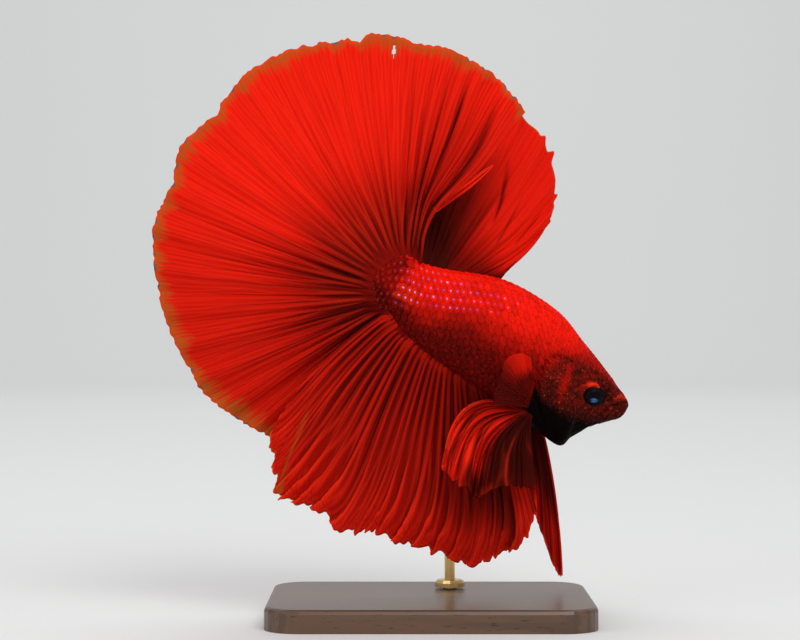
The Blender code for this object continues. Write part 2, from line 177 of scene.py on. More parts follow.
def blend_through(values, t):
    """A smooth curve through evenly spaced numbers or points; t counts them from 0."""
    values = np.asarray(values, dtype=float)
    t = np.asarray(t, dtype=float)
    i = np.clip(t.astype(int), 0, len(values) - 2)
    f = t - i
    if values.ndim > 1:
        f = f[..., None]
    ends = (2 * values[:1] - values[1:2], values, 2 * values[-1:] - values[-2:-1])
    padded = np.concatenate(ends)
    a, b, c, d = (padded[i + k] for k in range(4))
    return b + ((c - a) + ((2 * a - 5 * b + 4 * c - d) + (3 * b - a - 3 * c + d) * f) * f) * (0.5 * f)


def through(values, share):
    """The same curve read by a share of its length, 0 to 1."""
    return blend_through(values, np.asarray(share) * (len(values) - 1))


def step(low, high, x):
    """0 below low, 1 above high, eased between."""
    t = np.clip((x - low) / (high - low), 0.0, 1.0)
    return t * t * (3 - 2 * t)


def bell(x, width):
    """1 at x = 0, fading to both sides over the width."""
    return np.exp(-((x / width) ** 2))


def unit(v):
    """The same directions at length 1."""
    return v / np.maximum(np.linalg.norm(v, axis=-1, keepdims=True), 1e-12)


def side_view(points, t):
    """A curve of (x, z) points as a line in space on the mid plane."""
    flat = blend_through(points, t)
    return np.stack([flat[..., 0], np.zeros_like(flat[..., 0]), flat[..., 1]], axis=-1)


def drift(seed, count, u):
    """A smooth random value between -1 and 1 along u (0 to 1), with count bends."""
    values = np.random.RandomState(seed).uniform(-1, 1, count + 1)
    return through(values, u)


def stroke_distance(x, z, points):
    """Distance in the side view to a line drawn through the points."""
    line = through(points, np.linspace(0, 1, 50))
    gaps = (x[..., None] - line[:, 0]) ** 2 + (z[..., None] - line[:, 1]) ** 2
    return np.sqrt(gaps.min(axis=-1))


def mound(x, z, middle, stretch, radius):
    """A soft rise in the side view, 1 at its middle; stretch makes it longer along x or z."""
    return bell(np.hypot((x - middle[0]) / stretch[0], (z - middle[1]) / stretch[1]), radius)


def line_height(x, points):
    """A line's height, read by how far x has come from its first point to its last."""
    first, last = points[0][0], points[-1][0]
    return through(points, np.clip((x - first) / (last - first), 0, 1))[..., 1]


# ---------------------------------------------------------------- the body's form

def spine(t):
    """The middle line of the body, bent out of the mid plane."""
    middle = (side_view(BACK, t) + side_view(BELLY, t)) / 2
    middle[..., 1] += blend_through(MID_PLANE, t)
    return middle


def body_section(station):
    """Centre, up, half height, right-hand direction and half width of the body at a station."""
    station = np.asarray(station, dtype=float)
    t = np.minimum(station, TAIL_STATION)
    half = (side_view(BACK, t) - side_view(BELLY, t)) / 2
    ahead = np.minimum(t + 0.05, TAIL_STATION)
    tailward = (spine(ahead) - spine(t - 0.05)) / (ahead - t + 0.05)[..., None]
    right = unit(np.cross(half, tailward))
    up = unit(half)
    height = np.linalg.norm(half, axis=-1)
    width = blend_through(HALF_WIDTH, t)
    turn = np.clip(station - TAIL_STATION, 0, 1) * math.pi / 2
    centre = spine(t) + np.cross(right, up) * (height * np.sin(turn))[..., None]
    width = width + (TAIL_TIP_HALF_WIDTH - width) * np.sin(turn)
    return centre, up, height * np.cos(turn), right, width


def body_point(station, degrees, out=0.0, snout=False):
    """A point on the body: 0 degrees is the right flank, 90 the back, 270 the belly."""
    centre, up, height, right, width = body_section(station)
    if snout:
        short = np.clip((SNOUT_STATION - station) / SNOUT_STATION, 0, 1)
        round_off = np.sqrt(1 - short ** 2)
        height, width = height * round_off, width * round_off
        out = out * round_off
    a = np.radians(degrees)
    rise = ((height + out) * np.sin(a))[..., None]
    reach = ((width + out) * np.cos(a))[..., None]
    return centre + up * rise + right * reach


def flank_angle(degrees):
    """The angle up from the middle of the flank, the same for both sides."""
    a = (np.asarray(degrees) + 180) % 360 - 180
    return np.where(np.abs(a) <= 90, a, np.sign(a) * 180 - a)


def gill_share(station, flank):
    """0 at the middle of the gill cover, 1 at its edge, and how far it is to the rear."""
    rearward = (station - GILL_STATION) / GILL_HALF_LENGTH
    return np.hypot(rearward, (flank - GILL_ANGLE) / GILL_HALF_ANGLE), rearward


def lobe_share(station, flank, half_length, half_angle):
    """0 at the middle of the pectoral fin's lobe, 1 at the edge of an oval of that size."""
    return np.hypot((station - LOBE_STATION) / half_length, (flank - LOBE_ANGLE) / half_angle)


def face_relief(x, z, station, flank):
    """How far the head's features stand out from the plain body, in millimetres."""
    share, rearward = gill_share(station, flank)
    rear = step(-0.25, 0.2, rearward)
    plate = 1 - (rear * step(0.955, 1.0, share) + (1 - rear) * step(0.35, 1.05, share))
    relief = plate * (0.4 + 0.36 * np.maximum(0, 1 - share ** 2))
    low = step(-1.0, -0.6, (flank - GILL_ANGLE) / GILL_HALF_ANGLE)
    relief -= 0.35 * rear * low * bell(share - 1.05, 0.035)
    folds = stroke_distance(x, z, CHEEK_RIDGE)
    relief += 0.16 * bell(folds, 0.28) - 0.12 * bell(folds - 0.5, 0.2) * (x < 22.5)
    for fold in THROAT_FOLDS:
        near = stroke_distance(x, z, fold)
        relief += 0.08 * bell(near, 0.2) - 0.14 * bell(near - 0.3, 0.12)
    from_eye = np.hypot(x - EYE[0], z - EYE[1])
    above = step(0.0, 0.9, (z - EYE[1]) / np.maximum(from_eye, 0.01))
    relief += 0.12 * bell(from_eye - 1.5, 0.22)
    relief += 0.30 * above * bell(from_eye - 1.68, 0.32)
    relief -= 0.14 * bell(from_eye - 2.45, 0.3)
    relief -= 0.22 * mound(x, z, HOLLOW_AHEAD_OF_EYE, (1.0, 0.8), 0.55)
    relief -= 1.3 * (1 - step(1.08, 1.30, from_eye))
    mouth = stroke_distance(x, z, GAPE)
    relief += 0.17 * bell(mouth - 0.38, 0.22) - 0.34 * bell(mouth, 0.13)
    relief += 0.12 * mound(x, z, LIP_SWELL, (1.0, 1.0), 0.5)
    nostril = np.hypot((x - NOSTRIL[0]) / 1.3, z - NOSTRIL[1])
    relief += 0.1 * bell(nostril - 0.3, 0.12) - 0.28 * bell(nostril, 0.17)
    relief += 0.16 * mound(x, z, CHEEK_SWELL, (1.0, 1.2), 1.0)
    return relief + 0.35 * (1 - step(0.5, 1.1, lobe_share(station, flank, 0.16, 17)))


def markings(x, z, station, flank):
    """Where the bright back, the face's browns and reds, its painted shade and the black throat lie; the
    bright back is partly painted light from above, and the black throat partly painted shade.
    """
    # The bright back and the darker flank are partly the fish's own colours, partly painted light from
    # above.
    crown = step(-52, 46, flank + 6 * np.sin(station * 2.1) - 12 * step(0.0, 12.0, x))
    ridge = 0.6 * step(30, 60, flank) * (1 - step(10.7, 11.3, station))
    crown = np.minimum(crown, 1 - 0.75 * step(10.6, 11.4, station) * (1 - ridge))
    crown = crown * (1 - 0.8 * mound(x, z, DARK_END_OF_BACK, (1.0, 1.0), 1.1))
    share = gill_share(station, flank)[0]
    on_plate = (1 - step(0.92, 1.03, share)) * (1 - step(33.6, 37.2, z))
    ahead = step(16.9, 19.6, x) * (1 - step(35.4, 39.8, z - 0.12 * (x - 17)))
    # The black throat is partly painted shade under the head; the painted shadow behind the gill cover joins
    # it.
    below = line_height(x, THROAT_LINE) - z
    throat = step(-1.5, 1.0, below) * step(12.4, 14.0, x) * (1 - 0.85 * step(24.0, 27.0, x))
    from_gill_shadow = np.hypot((x - SHADOW_BEHIND_GILL[0]) / 1.1, (z - SHADOW_BEHIND_GILL[1]) / 3.0)
    gill_shadow = 1 - step(0.6, 1.15, from_gill_shadow)
    crest = step(0.5, 3.6, z - line_height(x, CREST_LINE))
    stripe = np.maximum(
        0.6 * bell(stroke_distance(x, z, CHEEK_STRIPE), 0.9),
        0.8 * bell(stroke_distance(x, z, GILL_RIM), 0.55),
    )
    rust = np.maximum(np.maximum(0.85 * crest, stripe), 0.25 * step(31.0, 34.0, z))
    rust = np.maximum(rust, 1 - step(-5.6, -4.0, x))
    # Painted shade: darker towards the throat, and over a few areas of the face.
    shade = 0.85 * step(-4.0, 0.4, below)
    for middle, half_size, deep in DARK_PATCHES:
        shade = np.maximum(shade, deep * mound(x, z, middle, half_size, 1.0))
    return {
        "crown": crown, "face": np.maximum(on_plate, ahead), "rust": rust * (1 - 0.5 * shade),
        "shade": shade, "throat": np.maximum(throat, gill_shadow * (1 - on_plate)),
    }


# ---------------------------------------------------------------- meshes

def deselect():
    """Leaves edit mode and clears the selection."""
    if bpy.context.object and bpy.context.object.mode != "OBJECT":
        bpy.ops.object.mode_set(mode="OBJECT")
    bpy.ops.object.select_all(action="DESELECT")


def grid_piece(name, columns, rows):
    """A flat grid, with the column and row of each of its corners."""
    deselect()
    bpy.ops.mesh.primitive_grid_add(x_subdivisions=columns, y_subdivisions=rows, size=1.0)
    piece = bpy.context.object
    piece.name = piece.data.name = name
    spots = np.empty(len(piece.data.vertices) * 3, np.float32)
    piece.data.vertices.foreach_get("co", spots)
    spots = spots.reshape(-1, 3)
    column = np.rint((spots[:, 0] + 0.5) * columns).astype(int)
    row = np.rint((spots[:, 1] + 0.5) * rows).astype(int)
    return piece, column, row


def place_corners(piece, spots):
    """Moves every corner of a piece to its spot, given in millimetres."""
    piece.data.vertices.foreach_set("co", (spots * MM).astype(np.float32).ravel())
    piece.data.update()


def paint(piece, **values):
    """Keeps one number per corner under each name, for the materials to read."""
    for name, value in values.items():
        layer = piece.data.attributes.new(name, "FLOAT", "POINT")
        layer.data.foreach_set("value", np.asarray(value, np.float32).ravel())


def apply_modifier(piece, modifier):
    """Makes a modifier part of the mesh."""
    deselect()
    piece.select_set(True)
    bpy.context.view_layer.objects.active = piece
    bpy.ops.object.modifier_apply(modifier=modifier.name)


def in_edit_mode(piece, *steps):
    """Runs mesh operators on the whole piece, each with its options."""
    deselect()
    piece.select_set(True)
    bpy.context.view_layer.objects.active = piece
    bpy.ops.object.mode_set(mode="EDIT")
    bpy.ops.mesh.select_all(action="SELECT")
    for action, options in steps:
        action(**options)
    bpy.ops.object.mode_set(mode="OBJECT")

# Gives a solid from model.glb a better material in every slot.

def pick(piece, kind, test):
    """Selects the faces or edges that pass the test, alone, and stays in edit mode."""
    deselect()
    piece.select_set(True)
    bpy.context.view_layer.objects.active = piece
    bpy.context.tool_settings.mesh_select_mode = (False, kind == "edges", kind == "polygons")
    bpy.ops.object.mode_set(mode="EDIT")
    bpy.ops.mesh.select_all(action="DESELECT")
    bpy.ops.object.mode_set(mode="OBJECT")
    for element in getattr(piece.data, kind):
        element.select = bool(test(element))
    bpy.ops.object.mode_set(mode="EDIT")


def dress(piece, material, slot, *nodes):
    """Finishes a piece: its material, its place under the root and the solids it stands for, which it hides;
    the slot is not used.
    """
    piece.data.materials.clear()
    piece.data.materials.append(material)
    piece.data.polygons.foreach_set("use_smooth", np.ones(len(piece.data.polygons), bool))
    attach(piece, ROOT)
    if nodes:
        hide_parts(*nodes)


def write_uv(piece, name, uv):
    layer = piece.data.uv_layers.get(name) or piece.data.uv_layers.new(name=name)
    layer.data.foreach_set("uv", np.asarray(uv, np.float32).ravel())


def read_uv(piece, name):
    layer = piece.data.uv_layers[name]
    uv = np.empty(len(piece.data.loops) * 2, np.float32)
    layer.data.foreach_get("uv", uv)
    return uv.reshape(-1, 2)


def loop_corners(piece):
    """The corner that each loop of the mesh belongs to."""
    corner = np.empty(len(piece.data.loops), np.int32)
    piece.data.loops.foreach_get("vertex_index", corner)
    return corner


# ---------------------------------------------------------------- materials

class Nodes:
    """Places and joins shader nodes in a material or a node group."""

    def __init__(self, tree):
        self.tree = tree

    def add(self, kind, **settings):
        node = self.tree.nodes.new(kind)
        for name, value in settings.items():
            setattr(node, name, value)
        return node

    def link(self, source, target):
        """Joins two sockets, or sets the target where the source is a number."""
        if hasattr(source, "links"):
            self.tree.links.new(source, target)
        else:
            target.default_value = source

    def math(self, operation, *values, clamp=False):
        """A math node; values are sockets or numbers."""
        node = self.add("ShaderNodeMath", operation=operation, use_clamp=clamp)
        for value, socket in zip(values, node.inputs):
            self.link(value, socket)
        return node.outputs[0]

    def mix(self, factor, a, b, blend="MIX"):
        """A colour from a to b by the factor."""
        node = self.add("ShaderNodeMix", data_type="RGBA", blend_type=blend)
        self.link(factor, node.inputs[0])
        self.link(a if hasattr(a, "links") else (*a, 1.0), node.inputs[6])
        self.link(b if hasattr(b, "links") else (*b, 1.0), node.inputs[7])
        return node.outputs[2]

    def attribute(self, name):
        return self.add("ShaderNodeAttribute", attribute_name=name).outputs["Fac"]

    def noise(self, vector, scale, detail=3.0, roughness=0.5):
        node = self.add("ShaderNodeTexNoise")
        if vector is not None:
            self.link(vector, node.inputs["Vector"])
        node.inputs["Scale"].default_value = scale
        node.inputs["Detail"].default_value = detail
        node.inputs["Roughness"].default_value = roughness
        return node.outputs["Fac"]

    def window(self, value, low, high):
        """0 below low, 1 above high, eased between."""
        node = self.add("ShaderNodeMapRange", interpolation_type="SMOOTHSTEP")
        self.link(value, node.inputs["Value"])
        node.inputs["From Min"].default_value = low
        node.inputs["From Max"].default_value = high
        return node.outputs["Result"]

    def stretch(self, vector, scale):
        """A pattern position scaled by axis."""
        node = self.add("ShaderNodeMapping")
        self.link(vector, node.inputs["Vector"])
        node.inputs["Scale"].default_value = scale
        return node.outputs["Vector"]

    def bump(self, height, strength, distance):
        node = self.add("ShaderNodeBump")
        self.link(height, node.inputs["Height"])
        node.inputs["Strength"].default_value = strength
        node.inputs["Distance"].default_value = distance
        return node.outputs["Normal"]


def new_material(name, roughness, **sockets):
    """A material, its node builder and its shader, with the constant sockets set."""
    made = bpy.data.materials.new(name)
    made.use_nodes = True
    shader = made.node_tree.nodes["Principled BSDF"]
    shader.inputs["Roughness"].default_value = roughness
    for socket, value in sockets.items():
        shader.inputs[socket.replace("_", " ")].default_value = value
    return made, Nodes(made.node_tree), shader


def new_group(name, inputs, outputs):
    """A node group with named sockets, its node builder, inputs and outputs."""
    group = bpy.data.node_groups.new(name, "ShaderNodeTree")
    for direction, sockets in (("INPUT", inputs), ("OUTPUT", outputs)):
        for socket, kind, value in sockets:
            made = group.interface.new_socket(socket, in_out=direction, socket_type=kind)
            if value is not None:
                made.default_value = value
    nodes = Nodes(group)
    return group, nodes, nodes.add("NodeGroupInput").outputs, nodes.add("NodeGroupOutput").inputs


def place_group(nodes, group, **values):
    """Places a node group and sets or links its inputs by name."""
    node = nodes.add("ShaderNodeGroup", node_tree=group)
    for name, value in values.items():
        nodes.link(value, node.inputs[name.replace("_", " ")])
    return node.outputs


def betta_markings():
    """Scarlet back and maroon flank, partly painted light from above, brown mottled face with painted shade,
    and black throat, partly painted shade, for skin and scales.
    """
    colours = bpy.context.scene.betta_colours
    group = bpy.data.node_groups.get("Betta markings")
    if group:
        return group
    group, n, _, out = new_group(
        "Betta markings", (), (("Color", "NodeSocketColor", None), ("Mottle", "NodeSocketFloat", None))
    )
    where = n.add("ShaderNodeTexCoord").outputs["Object"]
    mottle = n.noise(where, 1500, 4.0, 0.65)
    freckle = n.noise(where, 2600, 3.0, 0.7)
    soft = n.math("SUBTRACT", n.noise(where, 420, 2.0), 0.5)
    # The bright back over the darker flank, partly painted light from above.
    crown = n.math("ADD", n.attribute("crown"), n.math("MULTIPLY", soft, 0.4), clamp=True)
    flank = n.mix(n.math("MULTIPLY", n.window(freckle, 0.4, 0.75), 0.45), colours.maroon, colours.crimson)
    back = n.mix(n.window(mottle, 0.22, 0.5), colours.crimson, colours.scarlet)
    body = n.mix(n.window(crown, 0.0, 0.95), flank, back)
    face = n.mix(n.window(mottle, 0.36, 0.64), colours.dark_brown, colours.brown)
    rust = n.math("ADD", n.attribute("rust"), n.math("MULTIPLY", soft, 0.9), clamp=True)
    red = n.mix(n.window(mottle, 0.25, 0.6), colours.brown, colours.crimson)
    face = n.mix(n.window(rust, 0.1, 0.85), face, red)
    # Painted shade over the face.
    shade = n.math("ADD", n.attribute("shade"), n.math("MULTIPLY", soft, 0.5), clamp=True)
    face = n.mix(n.math("MULTIPLY", n.window(shade, 0.1, 0.95), 0.9), face, colours.dusk)
    face = n.mix(n.window(freckle, 0.58, 0.7), face, n.mix(rust, colours.tan, colours.ember_and_highlight))
    faced = n.math("MULTIPLY", n.attribute("face"), n.window(mottle, 0.05, 0.35))
    colour = n.mix(faced, body, face)
    # The black throat, partly painted shade under the head, with the painted shadow behind the gill cover.
    dark = n.math("ADD", n.attribute("throat"), n.math("MULTIPLY", soft, 0.6), clamp=True)
    dark = n.math("MULTIPLY", n.window(dark, 0.25, 0.8), n.window(n.attribute("throat"), 0.0, 0.2))
    n.link(n.mix(dark, colour, colours.black), out["Color"])
    n.link(mottle, out["Mottle"])
    return group


# ---------------------------------------------------------------- the body skin

def mirrored(flank, side):
    """Turns an angle up the right flank into the angle round the body on either side."""
    return flank if side > 0 else 180 - flank


def side_place(station, flank):
    """Where a spot of the flank shows in the side view, the same for both sides."""
    centre, up, height, _, _ = body_section(station)
    spot = centre + up * (height * np.sin(np.radians(flank)))[..., None]
    return spot[..., 0] + SIDE_LEAN, spot[..., 2]


def skin_surface(station, degrees, lift=0.0):
    """The skin's spot: the body's form with the face's relief, inside the solids."""
    flank = flank_angle(degrees)
    x, z = side_place(station, flank)
    relief = face_relief(x, z, station, flank) * (1 - step(6.0, 7.0, station))
    return body_point(station, degrees, relief - SKIN_DEPTH + lift, snout=True)


def skin_frame(station, degrees):
    """The skin's spot, its steps tailward and round the body, and its outward direction."""
    spot = skin_surface(station, degrees)
    tailward = (skin_surface(station + 0.02, degrees) - spot) / 0.02
    around = (skin_surface(station, degrees + 1.0) - spot) / 1.0
    return spot, tailward, around, unit(np.cross(around, tailward))


def ring_stations(head_rings, trunk_rings):
    """Where the rings of skin lie: fine at the mouth, coarser to the tail."""
    head = np.linspace(0, 1, head_rings + 1) ** 1.15 * NECK_STATION
    trunk = np.linspace(NECK_STATION, SKIN_END, trunk_rings + 1)[1:]
    return np.concatenate((head, trunk))


def make_skin():
    """One closed skin from the mouth to the tail root, rings welded at both ends."""
    sizes = bpy.context.scene.betta_body
    stations = ring_stations(sizes.head_rings, sizes.trunk_rings)
    rings, around = len(stations), sizes.ring_segments
    piece, column, row = grid_piece("body_skin", rings, around)
    station = np.append(stations, SKIN_END)[column]
    degrees = row * 360.0 / around
    spots = skin_surface(station, degrees)
    closing = column == rings
    spots[closing] = body_section(np.full(closing.sum(), SKIN_END))[0]
    place_corners(piece, spots)
    x, z = side_place(station, flank_angle(degrees))
    eye = np.hypot(x - EYE[0], z - EYE[1])
    paint(piece, brow=brow_glow(x, z, eye), **markings(x, z, station, flank_angle(degrees)))
    piece.data.uv_layers[0].name = "OFBake"
    corner = loop_corners(piece)
    write_uv(piece, "OFBake", np.stack((station / 12, degrees / 360), axis=-1)[corner])
    in_edit_mode(
        piece,
        (bpy.ops.mesh.remove_doubles, {"threshold": 1e-6}),
        (bpy.ops.mesh.normals_make_consistent, {"inside": False}),
    )
    dress(
        piece, skin_material(), "scaled_skin",
        "head", "lower_jaw", "gill_cover_right", "gill_cover_left", "trunk", "tail_stalk",
    )


def brow_glow(x, z, from_eye):
    """Where a highlight is painted on the ridge over the eye and on the red tip of the lips."""
    above = step(0.55, 0.85, (z - EYE[1] + 0.35 * (x - EYE[0])) / np.maximum(from_eye, 0.01))
    lip = bell(stroke_distance(x, z, UPPER_LIP), 0.3)
    return np.maximum(above * bell(from_eye - 1.62, 0.33), 0.45 * lip)


def skin_material():
    """The betta's markings with a lit brow and lip."""
    made, n, shader = new_material("Betta skin", 0.6, Specular_IOR_Level=0.02)
    marks = place_group(n, betta_markings())
    where = n.add("ShaderNodeTexCoord").outputs["Object"]
    # A painted highlight on the brow ridge and the tip of the lips.
    glow = n.math("MULTIPLY", n.attribute("brow"), n.window(marks["Mottle"], 0.2, 0.6))
    colour = n.mix(glow, marks["Color"], bpy.context.scene.betta_colours.ember_and_highlight)
    n.link(colour, shader.inputs["Base Color"])
    n.link(n.bump(n.noise(where, 3800, 3.0), 0.5, 0.00005), shader.inputs["Normal"])
    return made


# ---------------------------------------------------------------- the scales

def scale_template():
    """One scale: a closed plate in a unit circle, rear edge at +X, top at height 1."""
    deselect()
    bpy.ops.mesh.primitive_circle_add(vertices=12, radius=1.0, fill_type="NGON")
    plate = bpy.context.object
    in_edit_mode(
        plate,
        (bpy.ops.mesh.extrude_region_move, {"TRANSFORM_OT_translate": {"value": (0, 0, 1)}}),
    )
    pick(plate, "polygons", lambda face: abs(face.normal.z) > 0.5 and face.center.z > 0.5)
    bpy.ops.mesh.inset(thickness=0.5)
    bpy.ops.mesh.poke()
    bpy.ops.mesh.select_all(action="SELECT")
    bpy.ops.mesh.normals_make_consistent(inside=False)
    bpy.ops.object.mode_set(mode="OBJECT")
    spots = np.array([v.co[:] for v in plate.data.vertices])
    faces = [list(face.vertices) for face in plate.data.polygons]
    bpy.data.objects.remove(plate)
    inner = np.hypot(spots[:, 0], spots[:, 1]) < 0.75
    spots[inner, 0] += 0.3
    return spots, faces, inner


def scale_rows(pitch, column_pitch, first, last):
    """Scale roots in rows along the body, each row half a scale out of step with the next."""
    stations = np.linspace(first, last, 260)
    flanks = np.linspace(90, -90, 181)
    line = body_point(*np.meshgrid(stations, flanks, indexing="ij"))
    arc = np.zeros(line.shape[:2])
    arc[:, 1:] = np.cumsum(np.linalg.norm(np.diff(line, axis=1), axis=-1), axis=1)
    roots = []
    for row in range(int(arc.max() / pitch)):
        wanted = (row + 0.5) * pitch
        flank = np.array([np.interp(wanted, ring, flanks) for ring in arc])
        path = body_point(stations, flank)
        along = np.append(0, np.cumsum(np.linalg.norm(np.diff(path, axis=0), axis=-1)))
        marks = np.arange((row % 2) * column_pitch / 2 + 0.2, along[-1], column_pitch)
        inside = np.interp(marks, along, arc[:, -1]) > wanted
        spots = np.stack((np.interp(marks, along, stations), np.interp(marks, along, flank)))
        roots.append(spots[:, inside])
    return np.concatenate(roots, axis=1)


def join_scales(name, faces, spots, normals, rises, uv, **marks):
    """One mesh of many scales; spots lie on the skin, and rises lift them off it."""
    count, corners = spots.shape[:2]
    mesh = bpy.data.meshes.new(name)
    first = np.arange(count)[:, None] * corners
    all_faces = [(np.array(face) + first).tolist() for face in faces]
    mesh.from_pydata(
        ((spots + normals * rises[..., None]) * MM).reshape(-1, 3).tolist(),
        [], [face for group in all_faces for face in group],
    )
    piece = bpy.data.objects.new(name, mesh)
    bpy.context.collection.objects.link(piece)
    for mark, value in marks.items():
        paint(piece, **{mark: np.broadcast_to(value, (count, corners))})
    write_uv(piece, "OFBake", uv.reshape(-1, 2)[loop_corners(piece)])
    in_edit_mode(piece, (bpy.ops.mesh.normals_make_consistent, {"inside": False}))
    return piece


def lay_scales(name, side, roots, length, width, seed):
    """Lays scales on the skin, each one curved to it, with its rear edge standing off."""
    rng = np.random.RandomState(seed)
    shape, faces, inner = scale_template()
    station, flank = roots
    count = station.size
    vary = (1 + rng.uniform(-0.07, 0.07, (2, count))) * (1 - 0.4 * step(9.8, 11.9, station))
    degrees = mirrored(flank, side)
    _, tailward, around, _ = skin_frame(station, degrees)
    along = shape[:, 0] * 0.5 + 0.28
    taper = 1 - 0.18 * np.abs(shape[:, 0])
    step_s = (length * vary[0] / np.linalg.norm(tailward, axis=-1))[:, None] * along
    step_a = (width * vary[1] / np.linalg.norm(around, axis=-1))[:, None] * (shape[:, 1] * taper / 2)
    s = np.clip(station[:, None] + step_s, 0.3, SKIN_END - 0.02)
    a = degrees[:, None] + step_a
    spots, _, _, normals = skin_frame(s, a)
    slope = 0.04 * length
    top = 0.035 + slope * (shape[:, 0] + 0.5) - 0.03 * shape[:, 1] ** 2
    rises = np.where(shape[:, 2] > 0.5, top, top - 0.07)[None, :]
    middle = inner & (np.abs(shape[:, 1]) < 0.1) & (np.abs(shape[:, 0] - 0.3) < 0.1)
    x, z = side_place(station, flank)
    marks = {name: value[:, None] for name, value in markings(x, z, station, flank).items()}
    # The second value is where the red highlight is painted on the flank.
    shine, gloss = iridescence(x, z, rng)
    uv = np.stack((
        station[:, None] / 12 + shape[:, 0] * 0.0015, degrees[:, None] / 360 + shape[:, 1] * 0.0015,
    ), axis=-1)
    return join_scales(
        name, faces, spots, normals, np.broadcast_to(rises, s.shape), uv,
        spot=shine[:, None], gloss=gloss[:, None], tone=rng.uniform(0, 1, count)[:, None],
        heart=middle[None, :], rear=(~inner * np.clip(shape[:, 0] + 0.3, 0, 1))[None, :], **marks,
    )


def iridescence(x, z, rng):
    """How strongly each scale shines lavender, and where a red highlight is painted on the flank, where the
    spots shine more strongly too.
    """
    line = np.interp(x, *zip(*BAND_MIDDLE))
    half = np.interp(x, *zip(*BAND_HALF_WIDTH))
    band = (1 - step(0.9, 1.15, np.abs(z - line) / half)) * (1 - 0.75 * step(5.0, 13.0, x)) * (x < 14)
    patch = mound(x, z, RED_HIGHLIGHT, (1.3, 1.2), 1.0)
    dim = 1 - 0.6 * (1 - step(-6.0, -3.5, x))
    return np.clip(band * dim * rng.uniform(0.0, 1.0, x.size) ** 0.8 + patch, 0, 1), patch


def make_scales():
    """Large scales over the body and small ones over the head, each side on its own."""
    sizes = bpy.context.scene.betta_body
    material = scale_material()
    for side, word in ((1, "right"), (-1, "left")):
        roots = scale_rows(sizes.scale_row_pitch, sizes.scale_pitch, *BODY_SCALE_STATIONS)
        x, z = side_place(*roots)
        marks = markings(x, z, *roots)
        off_lobe = lobe_share(*roots, 0.2, 19) >= 1
        keep = (marks["face"] < 0.4) & off_lobe & (marks["throat"] < 0.9) & (roots[0] > NAPE_STATION)
        piece = lay_scales(
            f"body_scales_{word}", side, roots[:, keep],
            sizes.scale_pitch * 1.6, sizes.scale_row_pitch * 1.5, 5 + side,
        )
        dress(piece, material, "scaled_skin")
        small = HEAD_SCALE_PITCH
        roots = scale_rows(small * 1.1, small, *HEAD_SCALE_STATIONS)
        x, z = side_place(*roots)
        marks = markings(x, z, *roots)
        from_eye = np.hypot(x - EYE[0], z - EYE[1])
        mouth = stroke_distance(x, z, GAPE)
        keep = (marks["face"] >= 0.4) | (roots[0] <= NAPE_STATION + 0.05)
        keep &= (from_eye > 2.3) & (mouth > 1.3) & (marks["throat"] < 0.85)
        piece = lay_scales(
            f"head_scales_{word}", side, roots[:, keep], small * 1.5, small * 1.5, 9 + side
        )
        dress(piece, material, "dark_face")


def scale_material():
    """The markings again, a darker rear edge and a shine at the heart of each scale, and a painted red
    highlight on the flank.
    """
    colours = bpy.context.scene.betta_colours
    made, n, shader = new_material("Betta scales", 0.5, Specular_IOR_Level=0.03)
    marks = place_group(n, betta_markings())
    tone = n.attribute("tone")
    dim = n.math("MULTIPLY", n.window(tone, 0.2, 1.0), 0.22)
    colour = n.mix(dim, marks["Color"], colours.maroon)
    rear = n.math("MULTIPLY", n.window(n.attribute("rear"), 0.1, 0.9), 0.2)
    colour = n.mix(rear, colour, colours.rear_edge, "MULTIPLY")
    # A painted red highlight on the flank.
    colour = n.mix(n.math("MULTIPLY", n.attribute("gloss"), 0.8), colour, colours.flame_highlight)
    heart = n.window(n.attribute("heart"), 0.5, 0.75)
    spot = n.math("MULTIPLY", heart, n.attribute("spot"))
    # Spots inside the painted highlight turn paler lavender.
    hue = n.window(n.math("SUBTRACT", tone, n.attribute("gloss")), 0.0, 0.7)
    shine = n.mix(hue, colours.lavender, colours.violet)
    shine = n.mix(n.window(n.attribute("rust"), 0.88, 1.0), shine, colours.sand)
    colour = n.mix(spot, colour, shine)
    n.link(colour, shader.inputs["Base Color"])
    where = n.add("ShaderNodeTexCoord").outputs["Object"]
    n.link(n.bump(n.noise(where, 5200, 2.0), 0.4, 0.00003), shader.inputs["Normal"])
    return made


# ---------------------------------------------------------------- the eyes

def make_eyes():
    """A ball in each socket, flattened a little and sunk into the head."""
    material = eye_material()
    at = np.array(EYE_STATION)
    centre, up, height, right, width = body_section(at)
    rise = (EYE[1] - centre[2]) / (up[2] * height)
    forward = np.cross(right, up)
    for side, word in ((1, "right"), (-1, "left")):
        deselect()
        bpy.ops.mesh.primitive_uv_sphere_add(segments=48, ring_count=32, radius=1.0)
        eye = bpy.context.object
        eye.name = eye.data.name = f"eyeball_{word}"
        ball = np.array([v.co[:] for v in eye.data.vertices])
        reach = width * math.sqrt(1 - rise ** 2) - EYE_SINK
        spot = centre + up * (height * rise) + right * (side * reach)
        depth = np.where(ball[:, 2] > 0.8, 0.98, 0.92)
        axes = (-forward * ball[:, :1] + up * ball[:, 1:2]) * (EYE_RADIUS - 0.03)
        place_corners(eye, spot + axes + right * (side * ball[:, 2:] * depth[:, None]))
        paint(eye, ahead=ball[:, 0], above=ball[:, 1], out=np.hypot(ball[:, 0], ball[:, 1]))
        eye.data.uv_layers[0].name = "OFBake"
        in_edit_mode(eye, (bpy.ops.mesh.normals_make_consistent, {"inside": False}))
        dress(eye, material, "eye", f"eye_{word}")


